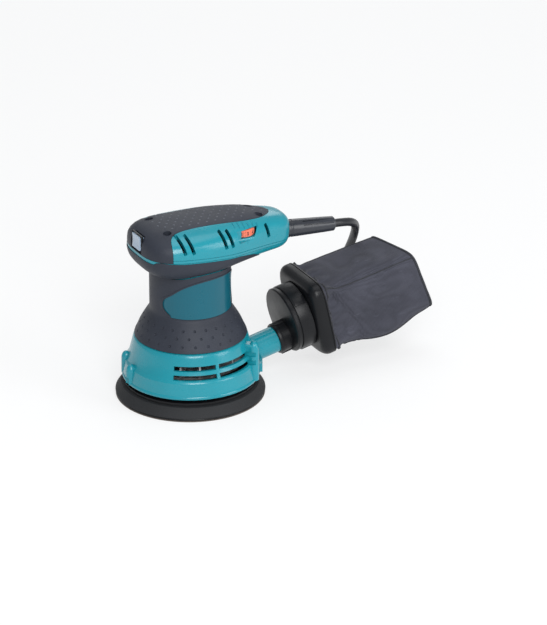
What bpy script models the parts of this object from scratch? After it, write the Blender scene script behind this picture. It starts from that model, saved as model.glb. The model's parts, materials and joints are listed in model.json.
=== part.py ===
"""Random-orbit sander: palm grip body, eccentric pad, dust spout, cloth bag and mains lead.

Frame: origin at the middle of the abrasive face on the motor axis, +Z up, +X to the rear, where the
cord and the dust bag are, so -X is the front with the switch. All sizes are in metres.
"""
from math import atan2, cos, pi, radians, sin

import bmesh
import bpy
from mathutils import Matrix, Vector

# ---------------------------------------------------------------- clearances
GAP = 0.0003            # between pieces that touch
RUN = 0.0006            # between pieces that move past each other

# ---------------------------------------------------------------- sanding pad
PAD_R = 0.0615
PAD_STEPS = 30
ORBIT = 0.0014          # distance from motor axis to pad axis, towards +Y
DISC_T = 0.0010
FACING_T = 0.0010
FOAM_T = 0.0084
FOAM_TOP_R = 0.0560
PLATE_T = 0.0022
PLATE_R = 0.0545
HUB_R = 0.0160
HUB_T = 0.0022
DUST_HOLES = 8
DUST_HOLE_R = 0.0050
DUST_CIRCLE_R = 0.0325
SPINDLE_R = 0.0060
PAD_SCREW_R = 0.0025
PAD_SCREW_HEAD_R = 0.0045
PAD_SCREW_HEAD_T = 0.0036
PAD_RECESS_R = 0.0085

# ---------------------------------------------------------------- rotor
PAD_BEARING_R = 0.0140
PAD_BEARING_T = 0.0080
WEIGHT_R = 0.0340
CUP_WALL = 0.0022
SHAFT_R = 0.0040
FAN_R = 0.0430
FAN_T = 0.0110
FAN_DISC_T = 0.0018
FAN_BLADES = 17
BLADE_T = 0.0016
LOWER_BEARING_R = 0.0110
LOWER_BEARING_T = 0.0070
UPPER_BEARING_R = 0.0095
UPPER_BEARING_T = 0.0060
ARMATURE_R = 0.0145
ARMATURE_LOW = 0.0660
ARMATURE_T = 0.0360
ARMATURE_SLOTS = 9
WINDING_R = 0.0125
WINDING_T = 0.0078
COMMUTATOR_R = 0.0110
COMMUTATOR_T = 0.0130
SEGMENTS = 12
STATOR_R = 0.0277
STATOR_BORE_R = 0.0158

# ---------------------------------------------------------------- shroud
SHROUD_LOW = 0.0175
SHROUD_TOP = 0.0535
SHROUD_WALL = 0.0024
BELL_STEPS = 35
BELL_LEVELS = (0.0526, 0.0490, 0.0390, 0.0336, 0.0316, 0.0205, 0.0190, 0.0175)
FLANGE_T = 0.0030
FLANGE_BORE_R = 0.0290
VENT_LEVELS = (0.0348, 0.0419)
VENT_T = 0.0029
VENT_SPAN = radians(40.5)
VENT_RIB = radians(3.0)
COLUMN_R = 0.0042
COLUMN_CIRCLE_R = 0.0540
COLUMN_ANGLES = (pi, radians(45), radians(-45))
SPOUT_R = 0.0110
SPOUT_WALL = 0.0022
SPOUT_TILT = radians(12.8)
SPOUT_AT = Vector((0.0770, 0.0, 0.0310))    # middle of the coupling's mouth, on the spout axis
SPOUT_REACH = 0.0070    # how far the spout runs on past that point, inside the coupling

# ---------------------------------------------------------------- neck and its rubber
RUBBER_T = 0.0018
HOUSING_WALL = 0.0024
NECK_R = 0.0333
NECK_TOP = 0.1250
NECK_STEPS = 28
FLARE = ((0.0460, 0.0000), (0.0440, 0.0045), (0.0413, 0.0105), (0.0370, 0.0178),
         (0.0338, 0.0228), (0.0333, 0.0262))

# ---------------------------------------------------------------- head
NOSE_X = -0.0478
NOSE_LENGTH = 0.0463
TAIL_X = 0.0850
TAIL_LENGTH = 0.0230
HEAD_HALF_WIDTH = 0.0380
HEAD_MID_Z = 0.1355
HEAD_CROWN = 0.0178
HEAD_SECTION = 3.2      # power of the superellipse of each cross section
COVER_WALL = 0.0040
PARTING_FRONT = Vector((-0.0450, 0.0, 0.1335))
PARTING_SLOPE = 0.0765
SCREW_PLACES = ((-0.0280, 0.0170), (-0.0280, -0.0170), (0.0570, 0.0100), (0.0570, -0.0100))
SCREW_R = 0.0018
SCREW_HEAD_R = 0.0034
SCREW_HEAD_T = 0.0024
SCREW_HEAD_Z = 0.1440
BOSS_R = 0.0046
SLOT_T = 0.0022

# ---------------------------------------------------------------- switch and dial
SWITCH_MID = Vector((-0.0440, 0.0, 0.1420))
ROCKER_HALF_WIDTH = 0.0076
ROCKER_HALF_HEIGHT = 0.0055
BEZEL_RIM = 0.0020
BEZEL_T = 0.0030
SWITCH_DEPTH = 0.0115
DIAL_MID = Vector((0.0380, -0.0193, 0.1430))
DIAL_R = 0.0106
DIAL_T = 0.0056
DIAL_RIBS = 18
DIAL_WINDOW = 0.0114

# ---------------------------------------------------------------- cord
CORD_R = 0.0035
GUARD_START = Vector((0.0850, 0.0, 0.1280))
GUARD_DROP = radians(4.8)
GUARD_LENGTH = 0.0456
GUARD_ROOT_R = 0.0076
GUARD_TIP_R = 0.0061
GUARD_NECK_R = 0.0060
GUARD_FLANGE_R = 0.0074
COIL_MID = Vector((0.2090, 0.1030, 0.0))
COIL_MEAN_R = 0.0400
COIL_HALF = 0.0105      # half the width and height of the wound cross section
COIL_LIFT = 0.0010
TIE_T = 0.0006
LEAD = ((0.1050, 0.0000, 0.1263), (0.1180, 0.0000, 0.1252), (0.1300, 0.0000, 0.1242),
        (0.1400, 0.0010, 0.1230), (0.1500, 0.0060, 0.1195), (0.1585, 0.0145, 0.1130),
        (0.1645, 0.0245, 0.1035), (0.1680, 0.0350, 0.0910), (0.1690, 0.0450, 0.0770),
        (0.1680, 0.0540, 0.0620), (0.1655, 0.0620, 0.0470), (0.1620, 0.0700, 0.0325),
        (0.1585, 0.0790, 0.0195), (0.1558, 0.0890, 0.0100), (0.1546, 0.0990, 0.0052),
        (0.1545, 0.1080, 0.0042))
TAIL = ((0.2215, 0.1413, 0.0262), (0.2330, 0.1372, 0.0268), (0.2425, 0.1290, 0.0278),
        (0.2475, 0.1180, 0.0292), (0.2465, 0.1065, 0.0305), (0.2395, 0.0975, 0.0315),
        (0.2290, 0.0935, 0.0320))
PLUG_LENGTH = 0.0300
PLUG_W = 0.0240
PLUG_H = 0.0180

# ---------------------------------------------------------------- dust nozzle and bag
COUPLING_R = 0.0128
CAP_RISE = 0.0135       # cap axis above the spout axis
CAP_R = 0.0280
CAP_START = 0.0100
CAP_T = 0.0170
CAP_WALL = 0.0024
MOUTH_R = 0.0150
FRAME_HALF_WIDTH = 0.0330
FRAME_HALF_HEIGHT = 0.0335
FRAME_T = 0.0120
BAG_LENGTH = 0.0850
BAG_END_HALF_WIDTH = 0.0310
BAG_END_HALF_HEIGHT = 0.0215

# ---------------------------------------------------------------- worked out from the above
DISC_Z = 0.0
FACING_Z = DISC_Z + DISC_T + GAP
FOAM_Z = FACING_Z + FACING_T + GAP
PLATE_Z = FOAM_Z + FOAM_T + GAP
HUB_TOP = PLATE_Z + PLATE_T + HUB_T
SPINDLE_Z = HUB_TOP + GAP
BEARING_Z = SPINDLE_Z + 0.0016
CUP_ROOF_Z = BEARING_Z + PAD_BEARING_T + GAP
CUP_TOP = CUP_ROOF_Z + CUP_WALL
FAN_Z = CUP_TOP + GAP + 0.0012
FAN_TOP = FAN_Z + FAN_T
BRACKET_Z = FAN_TOP + 0.0042
BRACKET_T = 0.0024
LOWER_BEARING_Z = BRACKET_Z + 0.0012
NECK_LOW = SHROUD_TOP + GAP
COMMUTATOR_Z = ARMATURE_LOW + ARMATURE_T + WINDING_T + 0.0030
UPPER_BEARING_Z = 0.1300
SHAFT_TOP = UPPER_BEARING_Z + UPPER_BEARING_T + 0.0010
HOUSING_SCREW_CIRCLE_R = 0.0345

PARTS = bpy.data.collections.new("random_orbit_sander")
CUTTERS = bpy.data.collections.new("cutters")
MATERIALS = {}
LOOKS = {
    "teal": ((0.02, 0.29, 0.36, 1), 0.22, 0.0),
    "dark_rubber": ((0.050, 0.058, 0.070, 1), 0.65, 0.0),
    "black_plastic": ((0.018, 0.019, 0.020, 1), 0.45, 0.0),
    "foam": ((0.020, 0.024, 0.026, 1), 0.90, 0.0),
    "abrasive": ((0.060, 0.040, 0.028, 1), 0.95, 0.0),
    "steel": ((0.55, 0.56, 0.57, 1), 0.35, 1.0),
    "aluminium": ((0.60, 0.61, 0.62, 1), 0.40, 1.0),
    "copper": ((0.70, 0.30, 0.16, 1), 0.35, 1.0),
    "lamination": ((0.20, 0.20, 0.21, 1), 0.50, 1.0),
    "brass": ((0.70, 0.50, 0.22, 1), 0.35, 1.0),
    "carbon": ((0.03, 0.03, 0.03, 1), 0.70, 0.0),
    "board_green": ((0.03, 0.14, 0.06, 1), 0.50, 0.0),
    "orange": ((0.75, 0.16, 0.05, 1), 0.45, 0.0),
    "pale_switch": ((0.40, 0.50, 0.60, 1), 0.25, 0.0),
    "cloth": ((0.085, 0.088, 0.110, 1), 0.90, 0.0),
}


# ---------------------------------------------------------------- helpers
def clear_scene():
    for ob in list(bpy.data.objects):
        bpy.data.objects.remove(ob, do_unlink=True)
    bpy.context.scene.collection.children.link(PARTS)
    bpy.context.scene.collection.children.link(CUTTERS)


def material(name):
    if name not in MATERIALS:
        colour, roughness, metallic = LOOKS[name]
        made = bpy.data.materials.new(name)
        made.use_nodes = True
        shader = made.node_tree.nodes["Principled BSDF"]
        shader.inputs["Base Color"].default_value = colour
        shader.inputs["Roughness"].default_value = roughness
        shader.inputs["Metallic"].default_value = metallic
        MATERIALS[name] = made
    return MATERIALS[name]


def place(ob, look=None, parent=None):
    """Put an object among the parts with its look, or among the cutters without one."""
    for held in list(ob.users_collection):
        held.objects.unlink(ob)
    if look is None:
        CUTTERS.objects.link(ob)
        ob.hide_render = True
        ob.display_type = "WIRE"
    else:
        PARTS.objects.link(ob)
        ob.data.materials.clear()
        ob.data.materials.append(material(look))
    if parent is not None:
        ob.parent = parent
    return ob


def empty(name, matrix):
    ob = bpy.data.objects.new(name, None)
    PARTS.objects.link(ob)
    ob.matrix_world = matrix
    return ob


def from_bmesh(name, bm, look=None, parent=None):
    bmesh.ops.recalc_face_normals(bm, faces=bm.faces)
    mesh = bpy.data.meshes.new(name)
    bm.to_mesh(mesh)
    bm.free()
    return place(bpy.data.objects.new(name, mesh), look, parent)


def lathe(name, profile, look=None, steps=40, closed=True, at=(0, 0, 0), parent=None):
    """Turn a profile of (radius, height) points about Z. The points run down the outer side first."""
    mesh = bpy.data.meshes.new(name)
    edges = [(i, i + 1) for i in range(len(profile) - 1)]
    if closed:
        edges.append((len(profile) - 1, 0))
    mesh.from_pydata([(r, 0, z) for r, z in profile], edges, [])
    ob = place(bpy.data.objects.new(name, mesh), look, parent)
    ob.location = at
    screw = ob.modifiers.new("turn", "SCREW")
    screw.steps = steps
    screw.render_steps = steps
    screw.use_merge_vertices = True
    screw.merge_threshold = 0.00001
    screw.use_smooth_shade = True
    return ob


def rod(name, radius, low, high, look=None, steps=24, at=(0, 0), parent=None):
    """A plain round bar along Z."""
    profile = [(0, high), (radius, high), (radius, low), (0, low)]
    return lathe(name, profile, look, steps, False, (at[0], at[1], 0), parent)


def ring(name, outer, inner, low, high, look=None, steps=40, at=(0, 0), parent=None):
    """A plain round ring along Z."""
    profile = [(outer, high), (outer, low), (inner, low), (inner, high)]
    return lathe(name, profile, look, steps, True, (at[0], at[1], 0), parent)


def box(name, low, high, look=None, parent=None, round_off=0.0):
    bm = bmesh.new()
    bmesh.ops.create_cube(bm, size=1.0)
    low = Vector(low)
    high = Vector(high)
    bmesh.ops.scale(bm, vec=high - low, verts=bm.verts)
    bmesh.ops.translate(bm, vec=(high + low) / 2, verts=bm.verts)
    ob = from_bmesh(name, bm, look, parent)
    if round_off:
        soften(ob, round_off)
    return ob


def soften(ob, width, segments=2):
    bevel = ob.modifiers.new("edge", "BEVEL")
    bevel.width = width
    bevel.segments = segments
    bevel.limit_method = "ANGLE"
    bevel.angle_limit = radians(40)
    return ob


def as_mesh(curve_ob, look, parent):
    """The curve object as a welded mesh object of the same name."""
    bpy.context.view_layer.update()
    graph = bpy.context.evaluated_depsgraph_get()
    mesh = bpy.data.meshes.new_from_object(curve_ob.evaluated_get(graph))
    bm = bmesh.new()
    bm.from_mesh(mesh)
    bmesh.ops.remove_doubles(bm, verts=bm.verts, dist=0.000001)
    bmesh.ops.recalc_face_normals(bm, faces=bm.faces)
    bm.to_mesh(mesh)
    bm.free()
    name = curve_ob.name
    matrix = curve_ob.matrix_world.copy()
    bpy.data.objects.remove(curve_ob, do_unlink=True)
    ob = bpy.data.objects.new(name, mesh)
    ob.matrix_world = matrix
    return place(ob, look, parent)


def plate(name, outline, low, high, look=None, parent=None, turn=None):
    """A flat outline of (x, y) points, made thick from low to high along Z, then turned."""
    curve = bpy.data.curves.new(name, "CURVE")
    curve.dimensions = "2D"
    curve.fill_mode = "BOTH"
    curve.extrude = (high - low) / 2
    curve.resolution_u = 1
    spline = curve.splines.new("POLY")
    spline.points.add(len(outline) - 1)
    for point, (x, y) in zip(spline.points, outline):
        point.co = (x, y, 0, 1)
    spline.use_cyclic_u = True
    ob = bpy.data.objects.new(name, curve)
    PARTS.objects.link(ob)
    middle = Matrix.Translation((0, 0, (low + high) / 2))
    ob.matrix_world = (turn or Matrix.Identity(4)) @ middle
    return as_mesh(ob, look, parent)


def catmull(points, spacing):
    """Points about one spacing apart on a smooth curve through the given points."""
    points = [Vector(p) for p in points]
    ends = [points[0] * 2 - points[1]] + points + [points[-1] * 2 - points[-2]]
    fine = []
    for i in range(1, len(ends) - 2):
        a, b, c, d = ends[i - 1:i + 3]
        for k in range(12):
            t = k / 12
            fine.append(0.5 * (2 * b + (c - a) * t + (2 * a - 5 * b + 4 * c - d) * t ** 2
                               + (3 * b - a - 3 * c + d) * t ** 3))
    fine.append(points[-1])
    total = sum((q - p).length for p, q in zip(fine, fine[1:]))
    count = max(2, round(total / spacing))
    picked = [fine[0]]
    run = 0.0
    for p, q in zip(fine, fine[1:]):
        run += (q - p).length
        if run >= total * len(picked) / count and len(picked) < count:
            picked.append(q)
    picked.append(fine[-1])
    return picked


def tube(name, points, radius, look, resolution=2, parent=None):
    """A round tube with filled ends along straight steps between the given points."""
    curve = bpy.data.curves.new(name, "CURVE")
    curve.dimensions = "3D"
    curve.bevel_depth = radius
    curve.bevel_resolution = resolution
    curve.use_fill_caps = True
    spline = curve.splines.new("POLY")
    spline.points.add(len(points) - 1)
    for point, co in zip(spline.points, points):
        point.co = (*co, 1)
    ob = bpy.data.objects.new(name, curve)
    PARTS.objects.link(ob)
    return as_mesh(ob, look, parent)


def loft(name, rings, look=None, parent=None):
    """A closed skin through rings of equally many points, with flat ends."""
    bm = bmesh.new()
    rows = [[bm.verts.new(p) for p in points] for points in rings]
    count = len(rows[0])
    for a, b in zip(rows, rows[1:]):
        for i in range(count):
            j = (i + 1) % count
            bm.faces.new((a[i], a[j], b[j], b[i]))
    bm.faces.new(rows[0][::-1])
    bm.faces.new(rows[-1])
    bmesh.ops.triangulate(bm, faces=bm.faces)
    ob = from_bmesh(name, bm, look, parent)
    ob.data.shade_smooth()
    ob.data.set_sharp_from_angle(angle=radians(32))
    return ob


def boolean(ob, other, operation):
    change = ob.modifiers.new(other.name, "BOOLEAN")
    change.operation = operation
    change.solver = "EXACT"
    change.object = other
    return ob


def cut(ob, *others):
    for other in others:
        boolean(ob, other, "DIFFERENCE")
    return ob


def join(ob, *others):
    for other in others:
        boolean(ob, other, "UNION")
    return ob


def keep(ob, other):
    return boolean(ob, other, "INTERSECT")


def oval(radius_a, radius_b, power, count):
    """Evenly turned points of a superellipse, as (a, b) pairs."""
    points = []
    for i in range(count):
        angle = 2 * pi * (i + 0.5) / count
        c = cos(angle)
        s = sin(angle)
        reach = (abs(c) ** power + abs(s) ** power) ** (-1 / power)
        points.append((radius_a * c * reach, radius_b * s * reach))
    return points


def around(radius, angle, z=0.0):
    return Vector((radius * cos(angle), radius * sin(angle), z))


# ---------------------------------------------------------------- sanding pad
def holed(ob, name, low, high, radius=DUST_HOLE_R):
    for i in range(DUST_HOLES):
        spot = around(DUST_CIRCLE_R, 2 * pi * (i + 0.5) / DUST_HOLES)
        cut(ob, rod(f"{name}_hole_{i}", radius, low, high, steps=6, at=(spot.x, spot.y + ORBIT)))
    return ob


def sanding_pad():
    at = (0, ORBIT)
    disc = rod("abrasive_disc", PAD_R - 0.0003, DISC_Z, DISC_Z + DISC_T, "abrasive", PAD_STEPS, at)
    holed(disc, "disc", -0.001, DISC_Z + DISC_T + 0.001)
    facing = ring("hook_facing", PAD_R - 0.0005, PAD_RECESS_R, FACING_Z, FACING_Z + FACING_T,
                  "black_plastic", PAD_STEPS, at)
    holed(facing, "facing", DISC_Z, FACING_Z + FACING_T + 0.001)
    foam_top = FOAM_Z + FOAM_T
    profile = [(FOAM_TOP_R, foam_top), (FOAM_TOP_R + 0.0028, foam_top - 0.0035),
               (PAD_R - 0.0006, FOAM_Z + 0.0022), (PAD_R, FOAM_Z + 0.0008), (PAD_R - 0.0004, FOAM_Z),
               (PAD_RECESS_R, FOAM_Z), (PAD_RECESS_R, foam_top)]
    foam = lathe("pad_foam", profile, "foam", PAD_STEPS, True, (0, ORBIT, 0))
    holed(foam, "foam", FACING_Z, foam_top + 0.001)
    bore = PAD_SCREW_R + GAP
    profile = [(HUB_R, HUB_TOP), (HUB_R, PLATE_Z + PLATE_T), (PLATE_R, PLATE_Z + PLATE_T),
               (PLATE_R, PLATE_Z), (bore, PLATE_Z), (bore, HUB_TOP)]
    backing = lathe("pad_plate", profile, "black_plastic", PAD_STEPS, True, (0, ORBIT, 0))
    holed(backing, "plate", FOAM_Z, HUB_TOP + 0.001)
    head_top = PLATE_Z - GAP
    tip = BEARING_Z + 0.0060
    profile = [(0, tip), (PAD_SCREW_R, tip), (PAD_SCREW_R, head_top), (PAD_SCREW_HEAD_R, head_top),
               (PAD_SCREW_HEAD_R, head_top - PAD_SCREW_HEAD_T), (0.0020, head_top - PAD_SCREW_HEAD_T),
               (0.0020, head_top - 0.0014), (0, head_top - 0.0014)]
    lathe("pad_screw", profile, "steel", 16, False, (0, ORBIT, 0))
    top = CUP_ROOF_Z - GAP
    collar = SPINDLE_R + 0.0020
    profile = [(0, top), (SPINDLE_R, top), (SPINDLE_R, BEARING_Z - GAP), (collar, BEARING_Z - GAP),
               (collar, SPINDLE_Z), (bore, SPINDLE_Z), (bore, tip + GAP), (0, tip + GAP)]
    lathe("pad_spindle", profile, "steel", 16, False, (0, ORBIT, 0))


# ---------------------------------------------------------------- rotor
def rotor():
    ring("pad_bearing", PAD_BEARING_R, SPINDLE_R + GAP, BEARING_Z, BEARING_Z + PAD_BEARING_T, "steel",
         24, (0, ORBIT))
    cup_r = PAD_BEARING_R + GAP
    weight = rod("counterweight", cup_r + CUP_WALL, BEARING_Z, CUP_TOP, "steel", 24, (0, ORBIT))
    arc = [around(WEIGHT_R, pi + pi * i / 16) for i in range(17)]
    outline = [(p.x, p.y) for p in arc]
    half = plate("weight_half", outline, BEARING_Z + 0.0012, CUP_TOP - 0.0006)
    join(weight, half)
    cut(weight, rod("cup_bore", cup_r, BEARING_Z - 0.002, CUP_ROOF_Z, steps=22, at=(0, ORBIT)))
    cut(weight, rod("weight_bore", SHAFT_R + GAP, CUP_ROOF_Z - 0.002, CUP_TOP + 0.002, steps=24))
    rod("rotor_shaft", SHAFT_R, CUP_ROOF_Z + GAP, SHAFT_TOP, "steel", 24)
    fan = rod("fan", FAN_R, FAN_Z, FAN_Z + FAN_DISC_T, "aluminium", 26)
    outline = []
    hub = 0.0100
    for i in range(FAN_BLADES):
        middle = 2 * pi * i / FAN_BLADES
        for radius, side in ((hub, -1), (FAN_R - GAP, -1), (FAN_R - GAP, 1), (hub, 1)):
            spot = around(radius, middle) + around(side * BLADE_T / 2, middle + pi / 2)
            outline.append((spot.x, spot.y))
    join(fan, plate("fan_blades", outline, FAN_Z + FAN_DISC_T / 2, FAN_TOP))
    cut(fan, rod("fan_bore", SHAFT_R + GAP, FAN_Z - 0.002, FAN_TOP + 0.002, steps=24))
    ring("lower_bearing", LOWER_BEARING_R, SHAFT_R + GAP, LOWER_BEARING_Z,
         LOWER_BEARING_Z + LOWER_BEARING_T, "steel", 24)
    ring("upper_bearing", UPPER_BEARING_R, SHAFT_R + GAP, UPPER_BEARING_Z,
         UPPER_BEARING_Z + UPPER_BEARING_T, "steel", 24)
    outline = []
    for i in range(ARMATURE_SLOTS):
        for turn, radius in ((-0.42, ARMATURE_R), (0.0, ARMATURE_R), (0.42, ARMATURE_R),
                             (0.44, ARMATURE_R - 0.0040), (0.56, ARMATURE_R - 0.0040)):
            spot = around(radius, 2 * pi * (i + turn) / ARMATURE_SLOTS)
            outline.append((spot.x, spot.y))
    core = plate("armature_core", outline, ARMATURE_LOW, ARMATURE_LOW + ARMATURE_T, "lamination")
    cut(core, rod("core_bore", SHAFT_R + GAP, ARMATURE_LOW - 0.002, ARMATURE_LOW + ARMATURE_T + 0.002))
    for name, low in (("winding_lower", ARMATURE_LOW - GAP - WINDING_T),
                      ("winding_upper", ARMATURE_LOW + ARMATURE_T + GAP)):
        high = low + WINDING_T
        profile = [(WINDING_R - 0.0020, high), (WINDING_R, high - 0.0020), (WINDING_R, low + 0.0020),
                   (WINDING_R - 0.0020, low), (SHAFT_R + GAP, low), (SHAFT_R + GAP, high)]
        lathe(name, profile, "copper", 16)
    outline = []
    for i in range(SEGMENTS):
        for turn, radius in ((-0.38, COMMUTATOR_R), (0.38, COMMUTATOR_R), (0.42, COMMUTATOR_R - 0.0010),
                             (0.58, COMMUTATOR_R - 0.0010)):
            spot = around(radius, 2 * pi * (i + turn) / SEGMENTS)
            outline.append((spot.x, spot.y))
    drum = plate("commutator", outline, COMMUTATOR_Z, COMMUTATOR_Z + COMMUTATOR_T, "copper")
    cut(drum, rod("drum_bore", SHAFT_R + GAP, COMMUTATOR_Z - 0.002, COMMUTATOR_Z + COMMUTATOR_T + 0.002))


def stator():
    low = ARMATURE_LOW - 0.0020
    high = ARMATURE_LOW + ARMATURE_T + 0.0020
    core = ring("stator_core", STATOR_R, STATOR_BORE_R, low, high, "lamination", 28)
    inner = STATOR_BORE_R + 0.0022
    outer = STATOR_R - 0.0030
    for side, name in ((0.0, "field_coil_rear"), (pi, "field_coil_front")):
        for wall, piece, reach in ((GAP, None, 0.002), (0.0, name, 0.006)):
            half = radians(50) + (wall / inner)
            arc_out = [around(outer + wall, side - half + 2 * half * i / 12) for i in range(13)]
            arc_in = [around(inner - wall, side + half - 2 * half * i / 12) for i in range(13)]
            outline = [(p.x, p.y) for p in arc_out + arc_in]
            made = plate(piece or f"{name}_pocket", outline, low - reach, high + reach,
                         "copper" if piece else None)
            if piece is None:
                cut(core, made)


def brushes():
    level = COMMUTATOR_Z + COMMUTATOR_T / 2
    for side, word in ((1, "rear"), (-1, "front")):
        turn = Matrix.Rotation(0 if side > 0 else pi, 4, "Z")
        pivot = empty(f"brush_{word}_place", turn @ Matrix.Translation((0, 0, 0)))
        start = COMMUTATOR_R + GAP
        box(f"brush_{word}", (start, -0.0032, level - 0.0042), (start + 0.0100, 0.0032, level + 0.0042),
            "carbon", pivot)
        holder = box(f"brush_holder_{word}", (0.0128, -0.0045, level - 0.0055),
                     (0.0275, 0.0045, level + 0.0055), "brass", pivot)
        cut(holder, box(f"brush_slot_{word}", (0.0100, -0.0032 - GAP, level - 0.0042 - GAP),
                        (0.0262, 0.0032 + GAP, level + 0.0042 + GAP), None, pivot))
        turns = 3
        points = []
        begin = start + 0.0100 + 0.0008
        for i in range(turns * 8 + 1):
            angle = 2 * pi * i / 8
            along = begin + 0.0038 * i / (turns * 8)
            points.append((along, 0.0020 * cos(angle), level + 0.0020 * sin(angle)))
        tube(f"brush_spring_{word}", points, 0.0003, "steel", 0, pivot)


# ---------------------------------------------------------------- shroud, baffle, bracket, brake ring
def bell_radius(z):
    """Outer radius of the shroud at a height."""
    stations = ((0.0175, 0.0560), (0.0190, 0.0562), (0.0205, 0.0557), (0.0250, 0.0549), (0.0300, 0.0539),
                (0.0316, 0.0534), (0.0336, 0.0518), (0.0390, 0.0500), (0.0445, 0.0486), (0.0490, 0.0475),
                (0.0512, 0.0469), (0.0526, 0.0460))
    for (z0, r0), (z1, r1) in zip(stations, stations[1:]):
        if z <= z1:
            return r0 + (r1 - r0) * (z - z0) / (z1 - z0)
    return stations[-1][1]


def spout_frame():
    """An empty whose Z axis runs out along the dust spout; its -X axis points up."""
    return empty("spout_axis", Matrix.Translation(SPOUT_AT) @ Matrix.Rotation(pi / 2 - SPOUT_TILT, 4, "Y"))


def shroud(spout_axis):
    outer = [(0, SHROUD_TOP), (0.0440, SHROUD_TOP)] + [(bell_radius(z), z) for z in BELL_LEVELS]
    outer.append((0, SHROUD_LOW))
    bell = lathe("shroud", outer, "teal", BELL_STEPS, False)
    for i, angle in enumerate(COLUMN_ANGLES):
        spot = around(COLUMN_CIRCLE_R, angle)
        top = SHROUD_TOP - 0.0010 if angle != pi else 0.0370
        profile = [(0, top), (COLUMN_R * 0.7, top - 0.0006), (COLUMN_R, top - 0.0022),
                   (COLUMN_R, SHROUD_LOW + 0.0010), (0, SHROUD_LOW + 0.0010)]
        reach = lathe(f"column_{i}", profile, None, 10, False, (spot.x, spot.y, 0))
        inward = around(COLUMN_CIRCLE_R - 0.0060, angle)
        turn = Matrix.Translation((inward.x, inward.y, 0)) @ Matrix.Rotation(angle, 4, "Z")
        web = box(f"column_web_{i}", (-0.0020, -COLUMN_R * 0.9, SHROUD_LOW + 0.0014),
                  (0.0060, COLUMN_R * 0.9, top - 0.0024))
        web.matrix_world = turn
        join(bell, reach, web)
    join(bell, rod("spout_outer", SPOUT_R, -0.0300, SPOUT_REACH, steps=26, parent=spout_axis))
    sector = [(0.030, -0.020), (0.030, 0.020)]
    sector += [tuple(around(0.0585, radians(30) - radians(60) * i / 12))[:2] for i in range(13)]
    join(bell, plate("spout_root", sector, SHROUD_LOW + 0.0012, 0.0262))
    inner = [(0, SHROUD_TOP - FLANGE_T), (bell_radius(0.0505) - SHROUD_WALL, SHROUD_TOP - FLANGE_T)]
    for z in BELL_LEVELS[2:]:
        inner.append((bell_radius(z) - SHROUD_WALL, z))
    inner.append((bell_radius(SHROUD_LOW) - SHROUD_WALL, 0.0))
    inner.append((0, 0.0))
    cut(bell, lathe("bell_hollow", inner, None, BELL_STEPS, False))
    cut(bell, rod("flange_bore", FLANGE_BORE_R, SHROUD_TOP - 0.006, SHROUD_TOP + 0.002, steps=40))
    cut(bell, rod("spout_bore", SPOUT_R - SPOUT_WALL, -0.0360, SPOUT_REACH + 0.002, steps=22,
                  parent=spout_axis))
    for level in VENT_LEVELS:
        for side in (-1, 1):
            for part in (-1, 1):
                middle = side * pi / 2 + part * (VENT_SPAN + VENT_RIB) / 2
                arc_out = [around(0.0600, middle - VENT_SPAN / 2 + VENT_SPAN * i / 4) for i in range(5)]
                arc_in = [around(0.0440, middle + VENT_SPAN / 2 - VENT_SPAN * i / 4) for i in range(5)]
                outline = [(p.x, p.y) for p in arc_out + arc_in]
                name = f"vent_{level:.4f}_{side}_{part}".replace("-", "n")
                cut(bell, plate(name, outline, level - VENT_T / 2, level + VENT_T / 2))
    for i, angle in enumerate(COLUMN_ANGLES):
        spot = around(COLUMN_CIRCLE_R - 0.0004, angle)
        cut(bell, rod(f"column_hole_{i}", 0.0022, SHROUD_LOW - 0.002, 0.0245, steps=8, at=(spot.x, spot.y)))
    for i, spot in enumerate(housing_screw_places()):
        cut(bell, rod(f"flange_hole_{i}", SCREW_R + GAP, 0.0480, 0.0560, steps=8, at=spot))
    return bell


def housing_screw_places():
    spots = [around(HOUSING_SCREW_CIRCLE_R, radians(a)) for a in (90, 210, 330)]
    return [(p.x, p.y) for p in spots]


def lower_internals():
    high = SHROUD_TOP - FLANGE_T - GAP
    low = high - BRACKET_T
    cup_top = LOWER_BEARING_Z + LOWER_BEARING_T - 0.0006
    cup = LOWER_BEARING_R + GAP
    profile = [(0.0395, high), (0.0395, low), (cup - 0.0020, low), (cup - 0.0020, LOWER_BEARING_Z - GAP),
               (cup, LOWER_BEARING_Z - GAP), (cup, cup_top), (cup + 0.0020, cup_top),
               (cup + 0.0020, high)]
    bracket = lathe("bearing_bracket", profile, "aluminium", 24)
    for i in range(6):
        spot = around(0.0215, 2 * pi * i / 6)
        cut(bracket, rod(f"bracket_hole_{i}", 0.0052, low - 0.002, high + 0.002, steps=8, at=spot.xy))
    for i, spot in enumerate(housing_screw_places()):
        hole = rod(f"bracket_screw_hole_{i}", SCREW_R + GAP, low - 0.002, high + 0.002, steps=8, at=spot)
        cut(bracket, hole)
        head = low - GAP
        profile = [(0, 0.0640), (SCREW_R, 0.0640), (SCREW_R, head), (0.0030, head), (0.0030, head - 0.0018),
                   (0, head - 0.0018)]
        lathe(f"housing_screw_{i + 1}", profile, "steel", 8, False, (*spot, 0))
    baffle_z = FAN_Z - 0.0022
    ring("fan_baffle", bell_radius(baffle_z) - SHROUD_WALL - 2 * GAP, WEIGHT_R + 0.0030, baffle_z - 0.0006,
         baffle_z + 0.0006, "black_plastic", 24)
    ring_top = 0.0235
    wall = bell_radius(ring_top) - SHROUD_WALL - GAP
    profile = [(wall, ring_top), (wall, ring_top - 0.0018), (0.0468, ring_top - 0.0018),
               (0.0462, PLATE_Z + PLATE_T + RUN), (0.0448, PLATE_Z + PLATE_T + RUN), (0.0440, ring_top)]
    lathe("brake_ring", profile, "dark_rubber", 24)


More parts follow.
